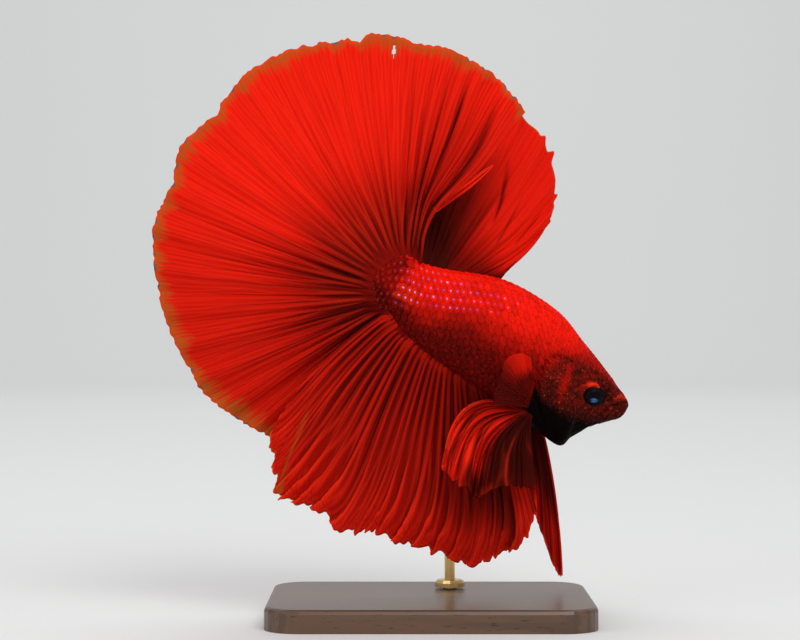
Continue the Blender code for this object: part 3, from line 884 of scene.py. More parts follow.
def eye_material():
    """Black eye with a faint brown ring and a soft blue glint below the middle."""
    colours = bpy.context.scene.betta_colours
    made, n, shader = new_material("Betta eye", 0.25, Specular_IOR_Level=0.03)
    out = n.attribute("out")
    ahead = n.math("DIVIDE", n.math("ADD", n.attribute("ahead"), 0.02), 0.40)
    above = n.math("DIVIDE", n.math("ADD", n.attribute("above"), 0.38), 0.22)
    square = n.math("ADD", n.math("MULTIPLY", ahead, ahead), n.math("MULTIPLY", above, above))
    where = n.add("ShaderNodeTexCoord").outputs["Object"]
    fleck = n.noise(n.stretch(where, (1500, 1500, 5000)), 1.0, 1.0)
    ring = n.math("SUBTRACT", n.window(out, 0.42, 0.5), n.window(out, 0.72, 0.86))
    iris = n.mix(n.math("MULTIPLY", ring, n.window(fleck, 0.4, 0.8)), colours.pupil, colours.iris)
    # The blue glint is a painted reflection.
    glint = n.math("SUBTRACT", 1.0, n.window(square, 0.5, 1.1))
    glint = n.math("MULTIPLY", glint, n.window(fleck, 0.2, 0.65))
    n.link(n.mix(glint, iris, colours.glint), shader.inputs["Base Color"])
    return made


# ---------------------------------------------------------------- the fins

def sheet_points(u, v, root, tip, bow, sideways, pleat):
    """A sheet from its root curve to its edge, bowed in its own plane and pleated sideways."""
    start, end = root(u), tip(u)
    chord = end - start
    share = bow[0] + (bow[1] - bow[0]) * u
    arch = np.cross(sideways, chord) * (share * 4 * v * (1 - v))[..., None]
    return start + chord * v[..., None] + arch + sideways * pleat[..., None]


def folds(u, v, count, at_root, at_edge):
    """Even waves across a fin that grow from the root to the edge."""
    return (at_root + (at_edge - at_root) * v) * np.cos(2 * math.pi * count * u)


def curtain(turns, sharp=0.24):
    """Hanging folds: each rises slowly and falls back sharply; also its crest, for a painted highlight, and
    its shadow, for painted shade.
    """
    part = np.mod(turns, 1.0)
    rise = np.where(part < 1 - sharp, step(0.0, 1 - sharp, part), 1 - step(1 - sharp, 1.0, part))
    crest = bell(part - 1 + sharp, 0.09)
    shadow = np.maximum(bell(part - 1 + 0.35 * sharp, 0.4 * sharp), bell(part, 0.3 * sharp))
    return 2 * rise - 1, crest, shadow


def branching_rays(u, v, counts, starts, span, seed):
    """1 along the crest of each ray, 0 between rays; every ray splits again and again."""
    rng = np.random.RandomState(seed)
    leaf = np.arange(counts[-1])
    levels = []
    for count in counts:
        branch = leaf * count // counts[-1]
        levels.append((branch + 0.5 + rng.uniform(-0.25, 0.25, count)[branch]) / count)
    forks = [
        start + rng.uniform(-0.07, 0.07, count)[leaf * count // counts[-1]]
        for start, count in zip(starts, counts)
    ]
    crest = np.zeros(u.shape)
    for row in np.unique(v):
        here = v == row
        path = levels[0].copy()
        spread = counts[0]
        for k, fork in enumerate(forks):
            path += (levels[k + 1] - levels[k]) * step(fork, fork + 0.3, row)
            spread += (counts[k + 1] - counts[k]) * step(starts[k], starts[k] + 0.3, row)
        path = np.concatenate(([-1.0], np.sort(path), [2.0]))
        k = np.clip(np.searchsorted(path, u[here]), 1, len(path) - 1)
        gap = np.minimum(np.abs(u[here] - path[k - 1]), np.abs(path[k] - u[here]))
        half = np.maximum(0.24 / spread, 0.05 / span(row))
        crest[here] = np.exp(-((gap / half) ** 2))
    return crest


def creases(u, v, span, seed, count, width, reach, where=lambda u: 1.0):
    """Folds between rays, darkened with painted shade: lines of their own length, strongest near the root.
    """
    rng = np.random.RandomState(seed)
    depth = np.zeros(u.shape)
    for middle in (np.arange(count) + rng.uniform(0.1, 0.9, count)) / count:
        half = rng.uniform(0.6, 1.5) * width
        begin, end = rng.uniform(0, 0.12), rng.uniform(*reach)
        bend = 0.4 * rng.uniform(-1, 1) / count
        line = np.exp(-(((u - middle - bend * v) * span(v) / half) ** 2))
        strength = rng.uniform(0.35, 1.0) * where(middle)
        line *= strength * step(-0.05, begin + 0.05, v) * (1 - step(end * 0.5, end, v))
        depth = np.maximum(depth, line)
    return depth


def ragged(u, seed, parts):
    """How far the edge draws back, in millimetres: parts are (bends, depth) pairs."""
    return sum(depth * (drift(seed + k, bends, u) * 0.5 + 0.5) for k, (bends, depth) in enumerate(parts))


def fin_piece(name, columns, rows, surface, thickness, material, nodes, opening=None):
    """A pleated sheet given its thickness ray by ray; surface returns its spots and marks."""
    piece, column, row = grid_piece(name, columns, rows)
    u, v = column / columns, row / rows
    spots, marks = surface(u, v)
    place_corners(piece, spots)
    paint(piece, **marks)
    corner = loop_corners(piece)
    piece.data.uv_layers[0].name = "FinMap"
    write_uv(piece, "FinMap", np.stack((u, v), axis=-1)[corner])
    write_uv(piece, "OFBake", np.stack((u * 0.49, v), axis=-1)[corner])
    if opening is not None:
        cut_opening(piece, opening(u, v))
    group = piece.vertex_groups.new(name="thickness")
    ray = np.empty(len(piece.data.vertices), np.float32)
    piece.data.attributes["ray"].data.foreach_get("value", ray)
    along = read_uv_by_corner(piece)[:, 1]
    weight = FLESHY_ROOT * bell(along, 0.045) + (1 - 0.6 * along) * (0.5 + 0.5 * ray)
    weight = np.minimum(weight / FLESHY_ROOT, 1.0)
    for index, value in enumerate(weight.tolist()):
        group.add((index,), value, "REPLACE")
    solid = piece.modifiers.new("Solidify", "SOLIDIFY")
    solid.thickness = thickness * FLESHY_ROOT * MM
    solid.offset = 0.0
    solid.vertex_group = group.name
    solid.thickness_vertex_group = 0.0
    front = len(piece.data.polygons)
    apply_modifier(piece, solid)
    back = np.array([face.index >= front for face in piece.data.polygons])
    per_loop = np.repeat(back, [face.loop_total for face in piece.data.polygons])
    uv = read_uv(piece, "OFBake")
    uv[per_loop, 0] += 0.51
    write_uv(piece, "OFBake", uv)
    dress(piece, material, "scarlet_fin", *nodes)
    return piece


def read_uv_by_corner(piece):
    """The fin's own map as one (across, along) pair for each corner."""
    uv = np.zeros((len(piece.data.vertices), 2), np.float32)
    uv[loop_corners(piece)] = read_uv(piece, "FinMap")
    return uv


def cut_opening(piece, inside):
    """Takes out the faces whose corners all lie inside the opening."""
    pick(piece, "polygons", lambda face: all(inside[i] for i in face.vertices))
    bpy.ops.mesh.delete(type="FACE")
    bpy.ops.object.mode_set(mode="OBJECT")


def fin_tissue():
    """Colour of a rayed fin: scarlet membrane, orange painted highlights on its rays and crests, painted
    shade over its shaded parts and in crimson lines between the rays, and an olive margin.
    """
    group = bpy.data.node_groups.get("Fin tissue")
    if group:
        return group
    colours = bpy.context.scene.betta_colours
    group, n, given, out = new_group(
        "Fin tissue",
        (("Streaks", "NodeSocketFloat", 0.5), ("Ray glow", "NodeSocketFloat", 0.4)),
        (("Color", "NodeSocketColor", None), ("Height", "NodeSocketFloat", None)),
    )
    along = n.add("ShaderNodeUVMap", uv_map="FinMap").outputs["UV"]
    streak = n.noise(n.stretch(along, (420, 5, 1)), 1.0, 3.0, 0.6)
    broad = n.noise(n.stretch(along, (60, 2.5, 1)), 1.0, 2.0)
    dull = n.math("MULTIPLY", n.window(streak, 0.42, 0.72), given["Streaks"])
    dull = n.math("MULTIPLY_ADD", n.window(broad, 0.5, 0.8), 0.25, dull)
    colour = n.mix(n.math("MINIMUM", dull, 1.0), colours.scarlet, colours.crimson)
    # Painted highlights along the ray crests.
    lit = n.math("MULTIPLY", n.attribute("ray"), given["Ray glow"])
    colour = n.mix(lit, colour, colours.ember_and_highlight)
    # Painted shade: towards garnet where the fin lies in shade, and darker still in its folds and between
    # its rays.
    colour = n.mix(n.attribute("deep"), colour, colours.garnet)
    colour = n.mix(n.attribute("crease"), colour, colours.fold_shade)
    fringe = n.math("ADD", n.attribute("margin"), n.math("MULTIPLY", n.math("SUBTRACT", streak, 0.5), 1.9))
    fringe = n.math("MULTIPLY", n.window(fringe, 0.25, 1.0), n.window(n.attribute("margin"), 0.0, 0.3))
    colour = n.mix(n.math("MULTIPLY", fringe, 0.85), colour, colours.olive)
    # Painted highlights on crests and edges, then painted shade over parts in shadow.
    colour = n.mix(n.attribute("glow"), colour, colours.ember_and_highlight)
    colour = n.mix(n.attribute("shade"), colour, colours.dusk)
    n.link(n.mix(n.attribute("tick"), colour, colours.slate), out["Color"])
    n.link(streak, out["Height"])
    return group


def fin_material(name, streaks, ray_glow, **sockets):
    """A fin of the shared tissue, with its own streaks and ray glow."""
    made, n, shader = new_material(name, 0.65, Specular_IOR_Level=0.03, **sockets)
    tissue = place_group(n, fin_tissue(), Streaks=streaks, Ray_glow=ray_glow)
    n.link(tissue["Color"], shader.inputs["Base Color"])
    n.link(n.bump(tissue["Height"], 0.35, 0.00005), shader.inputs["Normal"])
    return made, n, shader


def edge_marks(u, v, length, width, seed):
    """1 at the fin's edge, fading over the width of its olive fringe, in millimetres."""
    patchy = 0.6 + 0.3 * drift(seed, 24, u) + 0.2 * drift(seed + 1, 70, u)
    return 1 - np.clip((1 - v) * length / np.maximum(width * patchy, 0.08), 0, 1)


def tail_hub():
    """The body's section where the tail fin grows out of it."""
    return body_section(np.array(float(TAIL_STATION)))


def make_tail_fin():
    """The tail fan: u runs from its front edge to its lower edge, v from root to edge."""
    centre, up, height, right, _ = tail_hub()
    tailward = np.cross(right, up)
    middle = sum(TAIL_FAN) / 2
    radius = height - 0.9

    def span(v):
        return math.radians(TAIL_FAN[1] - TAIL_FAN[0]) * (4.7 + 29 * v)

    def angle_at(u):
        return TAIL_FAN[0] + (TAIL_FAN[1] - TAIL_FAN[0]) * u

    def root(u):
        spread = 24 * (u ** 3 - (1 - u) ** 3)
        turn = np.radians(angle_at(u) + spread - middle)
        return centre + radius * (
            tailward * np.cos(turn)[..., None] - up * np.sin(turn)[..., None]
        )

    def tip(u):
        angle = angle_at(u)
        reach = through(TAIL_RADII, u)
        for notch, depth, half in TAIL_NOTCHES:
            reach = reach - depth * np.clip(1 - np.abs(angle - notch) / half, 0, 1)
        reach = reach - ragged(u, 31, ((34, 0.35), (90, 0.22), (260, 0.3)))
        turn = np.radians(angle)
        edge = through(TAIL_EDGE_Y, u)
        return np.stack((
            centre[0] + reach * np.cos(turn), edge, centre[2] + reach * np.sin(turn),
        ), axis=-1)

    def calm(u):
        """Pleats are strong at both ends of the fan and nearly flat over its top."""
        return 0.35 + 0.65 * np.maximum(1 - step(0.1, 0.26, u), step(0.42, 0.62, u))

    def surface(u, v):
        strong = calm(u)
        pleat = folds(u, v, 19, 0.2, 0.4) * (0.35 + 0.65 * strong)
        fine = np.cos(2 * math.pi * (44 * u + 0.35 * drift(3, 12, u)))
        pleat = pleat + strong * 0.11 * fine * step(0.0, 0.15, v) * (1 - 0.45 * v)
        front = (1 - step(0.1, 0.21, u)) * step(0.08, 0.3, v)
        fold, _, shadow = curtain(28 * u + 0.8 * drift(6, 11, u) - 0.5 * v ** 2, 0.3)
        pleat = pleat - front * 0.4 * fold * (1.3 - v)
        wrinkle = creases(u, v, span, 11, 150, 0.11, (0.25, 1.05), lambda m: 0.3 + 0.7 * calm(m))
        rays = branching_rays(u, v, (26, 52, 104, 182), (0.08, 0.28, 0.58), span, 7)
        uneven = 0.5 + 0.5 * drift(14, 60, u)
        ridged = (1 - step(0.1, 0.5, v)) * step(0.02, 0.16, v) * (0.4 + 0.6 * uneven)
        pleat = pleat + 0.14 * wrinkle - 0.14 * rays * ridged
        spots = sheet_points(u, v, root, tip, TAIL_BOW, SIDEWAYS, pleat)
        lean = (1 - step(0.0, 0.15, u)) * step(0.0, 0.15, v)
        lean = lean * (0.4 * bell(v - 0.7, 0.2) - 1.5 * bell(v - 0.28, 0.2))
        spots = spots + lean[..., None] * np.array((0.8, 0.0, -0.59))
        length = np.linalg.norm(tip(u) - root(u), axis=-1)
        # Painted shade: darker at the root, over the lower part of the fan and along its front.
        base = 1 - step(0.02, 0.6, v + 0.07 * drift(8, 40, u))
        rear = 0.42 * step(0.45, 0.95, u) * (1 - 0.45 * v) + 0.12 * step(0.5, 0.7, u)
        ahead = 0.3 * (1 - step(0.08, 0.2, u)) * (1 - step(0.5, 1.0, v))
        deep = 1 - (1 - 0.8 * base) * (1 - rear) * (1 - ahead)
        # Painted shade in creases, fine pleats, between rays near the root and in the front folds' shadows.
        fold_shade = wrinkle * (0.45 + 0.5 * (1 - v)) + 0.35 * strong * step(0.55, 1.0, fine) * (1 - v)
        fold_shade = fold_shade + (0.1 + 0.55 * uneven) * (1 - rays) * step(0.02, 0.1, v) * (1 - step(0.08, 0.42, v))
        fold_shade = fold_shade + 0.8 * front * shadow * uneven * (1 - step(0.75, 1.0, v))
        fold_shade = fold_shade + (0.03 + 0.12 * strong) * (1 - rays)
        return spots, {
            "ray": rays, "deep": np.clip(deep, 0, 1), "crease": np.clip(fold_shade, 0, 1),
            "margin": edge_marks(u, v, length, 4.1 + 2.1 * bell(u - 0.64, 0.26), 51),
            "tick": edge_ticks(u, v, 61),
            # Painted highlights on the rays near the root and along the very edge.
            "glow": np.maximum(
                0.2 * rays * step(0.03, 0.1, v) * (1 - step(0.15, 0.4, v)), 0.7 * step(0.985, 1.0, v)
            ),
        }

    def opening(u, v):
        aside = (angle_at(u) - TAIL_SLIT[0]) / TAIL_SLIT_HALF[0]
        return np.hypot(aside, (v - TAIL_SLIT[1]) / TAIL_SLIT_HALF[1]) < 1

    def lappet(u, v):
        """The front ray's loose flap: a narrow strip that turns aside and ends in a point."""
        path = through(FRONT_LAPPET, v)
        ahead = through(FRONT_LAPPET, np.minimum(v + 0.02, 1.0)) - through(FRONT_LAPPET, v - 0.02)
        across = unit(np.cross(ahead, SIDEWAYS))
        wide = 1.0 * np.sin(math.pi * (0.2 + 0.8 * v)) ** 0.7 + 0.05
        fold = -0.35 * np.cos(3 * math.pi * u) * step(0.0, 0.5, v)
        # Painted shade near the flap's root and in a line along one side, painted highlights further out.
        return path + across * ((u - 0.5) * wide)[..., None] + SIDEWAYS * fold[..., None], {
            "ray": 0.5 + 0.5 * np.cos(6 * math.pi * u), "deep": 0.5 * (1 - step(0.2, 0.7, v)),
            "glow": 0.3 * step(0.3, 0.8, v), "crease": 0.5 * bell(u - 0.8, 0.12),
        }

    sizes = bpy.context.scene.betta_fins
    material = fin_material("Tail fin", 0.4, 0.3)[0]
    fin_piece(
        "tail_fin", sizes.tail_columns, sizes.tail_rows, surface, sizes.thickness, material,
        ("caudal_fin",), opening,
    )
    fin_piece("tail_fin_lappet", 16, 60, lappet, sizes.thickness, material, ("caudal_fin",))


def edge_ticks(u, v, seed):
    """Small grey nicks along the very edge."""
    chosen = drift(seed, 150, u) * (v > 0.985)
    return step(0.55, 0.8, chosen)


def root_on_body(stations, degrees, out, turn=0.0):
    """A fin's root line on the body, from one station to another."""
    def root(u):
        station = stations[0] + (stations[1] - stations[0]) * u
        return body_point(station, degrees + turn * u * u, out)
    return root


def edge_on(tips, edge_y):
    """A fin's edge, as a smooth line through its tips."""
    def tip(u):
        flat = through(tips, u)
        return np.stack((flat[..., 0], through(edge_y, u), flat[..., 1]), axis=-1)
    return tip


def drawn_back(root, tip, amount):
    """The same edge, drawn back towards the root by an amount in millimetres."""
    def edge(u):
        end = tip(u)
        return end - unit(end - root(u)) * amount(u)[..., None]
    return edge


def make_dorsal_fin():
    """The fin on the back: u runs from its front to its rear."""
    root = root_on_body((DORSAL_STATIONS[0], DORSAL_STATIONS[1] + 0.5), 90, -0.5)
    plain = edge_on(DORSAL_TIPS, DORSAL_EDGE_Y)

    def back(u):
        point = sum(high * bell(u - middle, half) for middle, half, high in DORSAL_SPIKES)
        return 0.45 + ragged(u, 71, ((22, 0.5), (70, 0.3))) - point

    tip = drawn_back(root, plain, back)

    def span(v):
        return 9.0 + 32.0 * v

    def surface(u, v):
        pleat = folds(u, v, 9, 0.1, 0.5)
        fine = np.cos(2 * math.pi * (24 * u + 0.3 * drift(5, 8, u)))
        pleat = pleat + 0.12 * fine * step(0, 0.2, v) * (1.1 - v)
        wrinkle = creases(u, v, span, 13, 44, 0.2, (0.25, 0.9))
        for where, begin, lean, strength in DORSAL_FOLDS:
            line = bell(u - where - lean * (v - begin), 0.011) * step(begin - 0.06, begin + 0.06, v)
            wrinkle = np.maximum(wrinkle, strength / 0.6 * line * (1 - step(begin + 0.15, begin + 0.36, v)))
        pleat = pleat + 0.2 * wrinkle
        spots = sheet_points(u, v, root, tip, DORSAL_BOW, SIDEWAYS, pleat)
        rays = branching_rays(u, v, (14, 28, 56), (0.15, 0.5), span, 17)
        length = np.linalg.norm(tip(u) - root(u), axis=-1)
        # Painted shade: darker near the root, along the front and under the tail; the tail's shadow painted
        # over the rear lower part; creases shaded too.
        under = step(0.45, 0.75, u) * (1 - step(0.55, 0.9, v))
        lower = (1 - step(0.03, 0.16, u)) * 0.7
        deep = 1 - (1 - 0.75 * (1 - step(0.0, 0.45, v))) * (1 - 0.7 * under) * (1 - lower) + 0.18
        return spots, {
            "ray": rays, "deep": np.clip(deep, 0, 1), "crease": np.clip(0.6 * wrinkle, 0, 1),
            "margin": edge_marks(u, v, length, 0.35, 81),
            "shade": 0.55 * step(0.48, 0.66, u) * (1 - step(0.38, 0.66, v)),
        }

    sizes = bpy.context.scene.betta_fins
    fin_piece(
        "dorsal_fin_membrane", 420, 70, surface, sizes.thickness,
        fin_material("Dorsal fin", 0.35, 0.25)[0], ("dorsal_fin",),
    )


def make_anal_fin():
    """The long fin below: u runs from its front to its rear."""
    root = root_on_body((ANAL_STATIONS[0], ANAL_STATIONS[1] + 0.4), 270, -0.5, ANAL_TURN)
    plain = edge_on(ANAL_TIPS, ANAL_EDGE_Y)

    def swept(u, v):
        """The share of the root a ray comes from; rays sweep back towards the edge."""
        return u - 0.075 * v ** 5 * step(0.0, 0.2, u)

    def fold_turns(u, v):
        """Counts the hanging folds from the front."""
        return 20 * swept(u, v) + 0.8 * drift(2, 13, swept(u, v))

    def back(u):
        fold = curtain(fold_turns(u, 1.0))[0]
        lobes = (0.5 - 0.5 * fold) * (0.3 + 0.5 * step(0.15, 0.5, u))
        return 0.2 + lobes + ragged(u, 91, ((11, 0.5), (60, 0.6), (150, 0.5)))

    tip = drawn_back(root, plain, back)

    def span(v):
        return 17.0 + 48.0 * v

    def surface(u, v):
        grown = step(0.3, 1.05, v)
        uneven = (0.7 + 0.5 * drift(18, 15, u)) * (1 - 0.55 * bell(u - 0.22, 0.1))
        fold, crest, shadow = curtain(fold_turns(u, v))
        rays = branching_rays(swept(u, v), v, (27, 54, 108), (0.45, 0.72), span, 27)
        ribbed = 1 - step(0.4, 0.8, v)
        wrinkle = creases(swept(u, v), v, span, 23, 110, 0.14, (0.4, 1.2))
        pleat = 0.12 * wrinkle - (0.06 + 0.34 * grown * uneven) * fold
        pleat = pleat - 0.2 * rays * ribbed * step(0.0, 0.06, v)
        slip = 0.42 * uneven * grown * fold * unit(tip(u + 0.01) - tip(u - 0.01)).T
        spots = sheet_points(u, v, root, tip, ANAL_BOW, SIDEWAYS, pleat) + slip.T
        length = np.linalg.norm(tip(u) - root(u), axis=-1)
        # Painted shade between rays, in the creases and in the fold shadows.
        fold_shade = (0.4 + 0.36 * (1 - step(0.2, 0.85, v))) * (1 - rays) + 0.6 * wrinkle
        fold_shade = fold_shade + 0.5 * shadow * grown * uneven
        # Painted shade over the whole fin, most near the root and the front and varying with the folds,
        # lighter towards the edge and in a few lit areas.
        front = 1 - step(0.1, 0.45, u)
        deep = 0.5 + 0.12 * (1 - step(0.1, 0.5, v)) - 0.3 * step(0.6, 1.0, v) * (1 - 0.5 * front)
        deep = deep + 0.3 * front - 0.16 * step(0.55, 0.95, u) + (0.12 - 0.2 * fold * uneven) * grown
        deep = deep - 0.4 * (1 - step(0.07, 0.11, u)) * step(0.4, 0.6, v)
        deep = deep - 0.2 * bell(u - 0.22, 0.08) * step(0.75, 0.9, v)
        # Painted shadows in a fold below the ventral fin and under its petal.
        furrow = 0.6 * bell(u - 0.13, 0.035) * step(0.4, 0.5, v) * (1 - step(0.8, 0.95, v))
        under = 0.5 * bell(u - 0.19, 0.08) * step(0.25, 0.4, v) * (1 - step(0.62, 0.76, v))
        fringe = edge_marks(u, v, length, 0.7, 101) * step(0.5, 0.9, u)
        window = 0.7 * bell(u - 0.83 - 0.175 * (1 - v), 0.02) * step(0.5, 0.75, v)
        # Painted highlights along the very edge and on the fold crests.
        rim = 0.5 * step(0.975, 1.0, v)
        return spots, {
            "ray": rays, "deep": np.clip(deep, 0, 1), "crease": np.clip(fold_shade, 0, 1),
            "margin": np.maximum(fringe, window), "glow": np.maximum(0.45 * crest * grown * uneven, rim),
            "shade": np.maximum(furrow, under),
        }

    sizes = bpy.context.scene.betta_fins
    fin_piece(
        "anal_fin_membrane", 720, 64, surface, sizes.thickness,
        fin_material("Anal fin", 0.45, 0.35)[0], ("anal_fin",),
    )


def make_ventral_fins():
    """The right fin is a wide ribbed fan, the left one a narrow hanging blade."""
    material = fin_material("Ventral fins", 0.35, 0.4)[0]
    sizes = bpy.context.scene.betta_fins

    def fan(name, node, columns, look, stations, degrees, tips, edge_y, bow, aside, ribs, depth):
        root = root_on_body(stations, degrees, -0.25)
        sideways = unit(np.array(aside))

        def rib_turns(u, v):
            return ribs * (u + 0.02 * np.sin(2 * math.pi * v)) + 0.45 * drift(12, 9, u)

        def back(u):
            notch = 0.35 * (0.5 - 0.5 * curtain(rib_turns(u, 1.0))[0]) * depth
            return 0.1 + notch + ragged(u, 111, ((9, 0.4), (30, 0.3)))

        edge = drawn_back(root, edge_on(tips, edge_y), back)

        def surface(u, v):
            fold, crest, shadow = curtain(rib_turns(u, v), 0.34)
            shape, frill, deep, glow, shade = look(u, v, crest)
            fold = fold * (1 - 0.45 * step(0.5, 0.7, u))
            pleat = shape - depth * fold * (0.25 + 0.3 * v) * step(0.02, 0.3, v) + frill
            spots = sheet_points(u, v, root, edge, bow, sideways, pleat)
            rays = branching_rays(u, v, (16, 32), (0.5,), lambda w: 2.0 + 14.0 * w, 37)
            # The fin's look paints shade and highlights; crease paints shade in the fold shadows and between
            # rays.
            return spots, {
                "ray": rays, "deep": np.clip(deep, 0, 1), "glow": np.clip(glow, 0, 1),
                "shade": np.clip(shade, 0, 1),
                "crease": np.clip((0.95 * shadow + 0.3 * (1 - rays)) * (1 - 0.3 * v), 0, 1),
            }

        fin_piece(name, columns, 60, surface, sizes.thickness, material, (node,))

    def right_look(u, v, crest):
        """Painted highlights on the ridges in front, and painted shade on the hanging petal and membrane
        behind them.
        """
        petal = step(0.24, 0.46, u) * step(0.72, 0.92, v)
        bright = (1 - step(0.46, 0.6, u)) * (1 - petal)
        rim = 0.6 * bell(u, 0.03) * step(0.2, 0.5, v) + 0.3 * bell(u - 0.56, 0.07) * step(0.9, 1.0, v)
        rim = rim + 0.35 * bell(u - 0.74, 0.012) * step(0.2, 0.5, v)
        deep = 0.97 - 0.95 * bright * step(0.0, 0.3, v)
        glow = (0.8 * bright + 0.12 * (1 - bright)) * crest * step(0.05, 0.3, v) + rim
        shade = 0.65 * (1 - bright) * (1 - rim) * (1 - 0.4 * step(0.75, 0.95, v)) * (1 - 0.3 * crest)
        return folds(u, v, 5, 0.05, 0.3), 0.0, deep, glow, shade

    def left_look(u, v, crest):
        """A blade in painted shade, with painted highlights on its edges and a frill on its rear edge."""
        ruffle = step(0.6, 0.8, u) * step(0.7, 0.95, v)
        edges = 0.7 * bell(u, 0.05) + 0.75 * step(0.955, 1.0, v)
        frill = 0.6 * ruffle * np.sin(10 * math.pi * u)
        deep = 0.96 - 0.6 * ruffle - 0.5 * step(0.4, 0.75, v)
        shade = 0.5 * (1 - step(0.4, 0.8, v)) * (1 - 0.6 * edges)
        return folds(u, v, 3, 0.05, 0.2), frill, deep, edges, shade

    fan(
        "ventral_fin_right_rays", "ventral_fin_right", 320, right_look,
        stations=(6.15, 5.85), degrees=296, tips=RIGHT_VENTRAL_TIPS, edge_y=RIGHT_VENTRAL_EDGE_Y,
        bow=(-0.30, -0.03), aside=(0.25, -1.0, 0.15), ribs=11, depth=0.9,
    )
    fan(
        "ventral_fin_left_rays", "ventral_fin_left", 120, left_look,
        stations=(5.42, 5.87), degrees=246, tips=LEFT_VENTRAL_TIPS, edge_y=LEFT_VENTRAL_EDGE_Y,
        bow=(0.025, 0.02), aside=(0.0, -1.0, 0.0), ribs=4, depth=0.4,
    )


def make_pectoral_fins():
    """Two small half-clear fins that stand up behind the gill covers."""
    made, n, shader = fin_material("Pectoral fins", 0.25, 0.25)
    n.link(n.math("MULTIPLY_ADD", n.attribute("ray"), 0.25, 0.72), shader.inputs["Alpha"])

    def pectoral_fin(side, word, drop, shadow):
        sideways = unit(np.array((0.6, -side, 0.1)))

        def root(u):
            return body_point(PECTORAL_STATION + 0.1 * u, mirrored(-22 - 30 * u, side), 0.05)

        reach = np.array([(ahead, -side * out, up - drop) for ahead, out, up in PECTORAL_REACH])
        ends = root(np.linspace(0, 1, len(reach))) + reach

        def tip(u):
            return through(ends, u)

        edge = drawn_back(root, tip, lambda w: ragged(w, 131, ((12, 0.15), (40, 0.1))))

        def surface(u, v):
            spots = sheet_points(u, v, root, edge, (0.0, 0.0), sideways, folds(u, v, 3, 0.0, 0.22))
            rays = branching_rays(u, v, (14, 28, 56), (0.35, 0.65), lambda w: 1.5 + 7 * w, 41)
            # Painted shade outside the lit outer front part, and between rays there; painted shadow over the
            # rear part, stronger on the right fin.
            lit = step(0.35, 0.7, v) * (1 - step(0.3, 0.75, u))
            return spots, {
                "ray": rays, "deep": np.clip(0.9 - 0.8 * lit, 0, 1), "crease": 0.2 * (1 - rays) * (1 - lit),
                "shade": shadow * (1 - lit) * step(0.3, 0.6, u),
            }

        name, node = f"pectoral_fin_{word}_rays", f"pectoral_fin_{word}"
        fin_piece(name, 220, 34, surface, PECTORAL_THICKNESS, made, (node,))

    pectoral_fin(1, "right", 0.0, 0.5)
    pectoral_fin(-1, "left", LEFT_PECTORAL_DROP, 0.1)


# ---------------------------------------------------------------- the stand

def finish_stand():
    """Walnut grain on the base and brushed brass on the rod."""
    colours = bpy.context.scene.betta_stand
    made, n, shader = new_material("Walnut", 0.42, Coat_Weight=0.25, Coat_Roughness=0.2)
    where = n.add("ShaderNodeTexCoord").outputs["Object"]
    bend = n.noise(n.stretch(where, (14, 60, 60)), 1.0, 2.0)
    rings = n.add("ShaderNodeTexWave", wave_type="BANDS", bands_direction="Y")
    n.link(n.stretch(where, (30, 420, 420)), rings.inputs["Vector"])
    rings.inputs["Scale"].default_value = 0.55
    rings.inputs["Distortion"].default_value = 7.0
    rings.inputs["Detail"].default_value = 3.0
    pores = n.noise(n.stretch(where, (500, 5200, 5200)), 1.0, 2.0)
    wood = n.mix(n.window(rings.outputs["Fac"], 0.1, 0.9), colours.late_wood, colours.early_wood)
    wood = n.mix(n.math("MULTIPLY", bend, 0.35), wood, colours.pale_wood)
    wood = n.mix(n.window(pores, 0.62, 0.75), wood, colours.pores)
    n.link(wood, shader.inputs["Base Color"])
    n.link(n.bump(pores, 0.4, 0.00004), shader.inputs["Normal"])
    repaint("stand_base", made)
    made, n, shader = new_material("Brushed brass", 0.3, Metallic=1.0)
    where = n.add("ShaderNodeTexCoord").outputs["Object"]
    brushed = n.noise(n.stretch(where, (300, 300, 9000)), 1.0, 3.0)
    n.link(n.mix(brushed, colours.dark_brass, colours.bright_brass), shader.inputs["Base Color"])
    n.link(n.math("MULTIPLY_ADD", brushed, 0.25, 0.2), shader.inputs["Roughness"])
    n.link(n.bump(brushed, 0.2, 0.00002), shader.inputs["Normal"])
    repaint("stand_rod", made)


def repaint(node, material):
    """Gives a solid of the frame a better material in every slot."""
    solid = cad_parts[node]
    for slot in solid.material_slots:
        slot.material = material


# ---------------------------------------------------------------- the stage

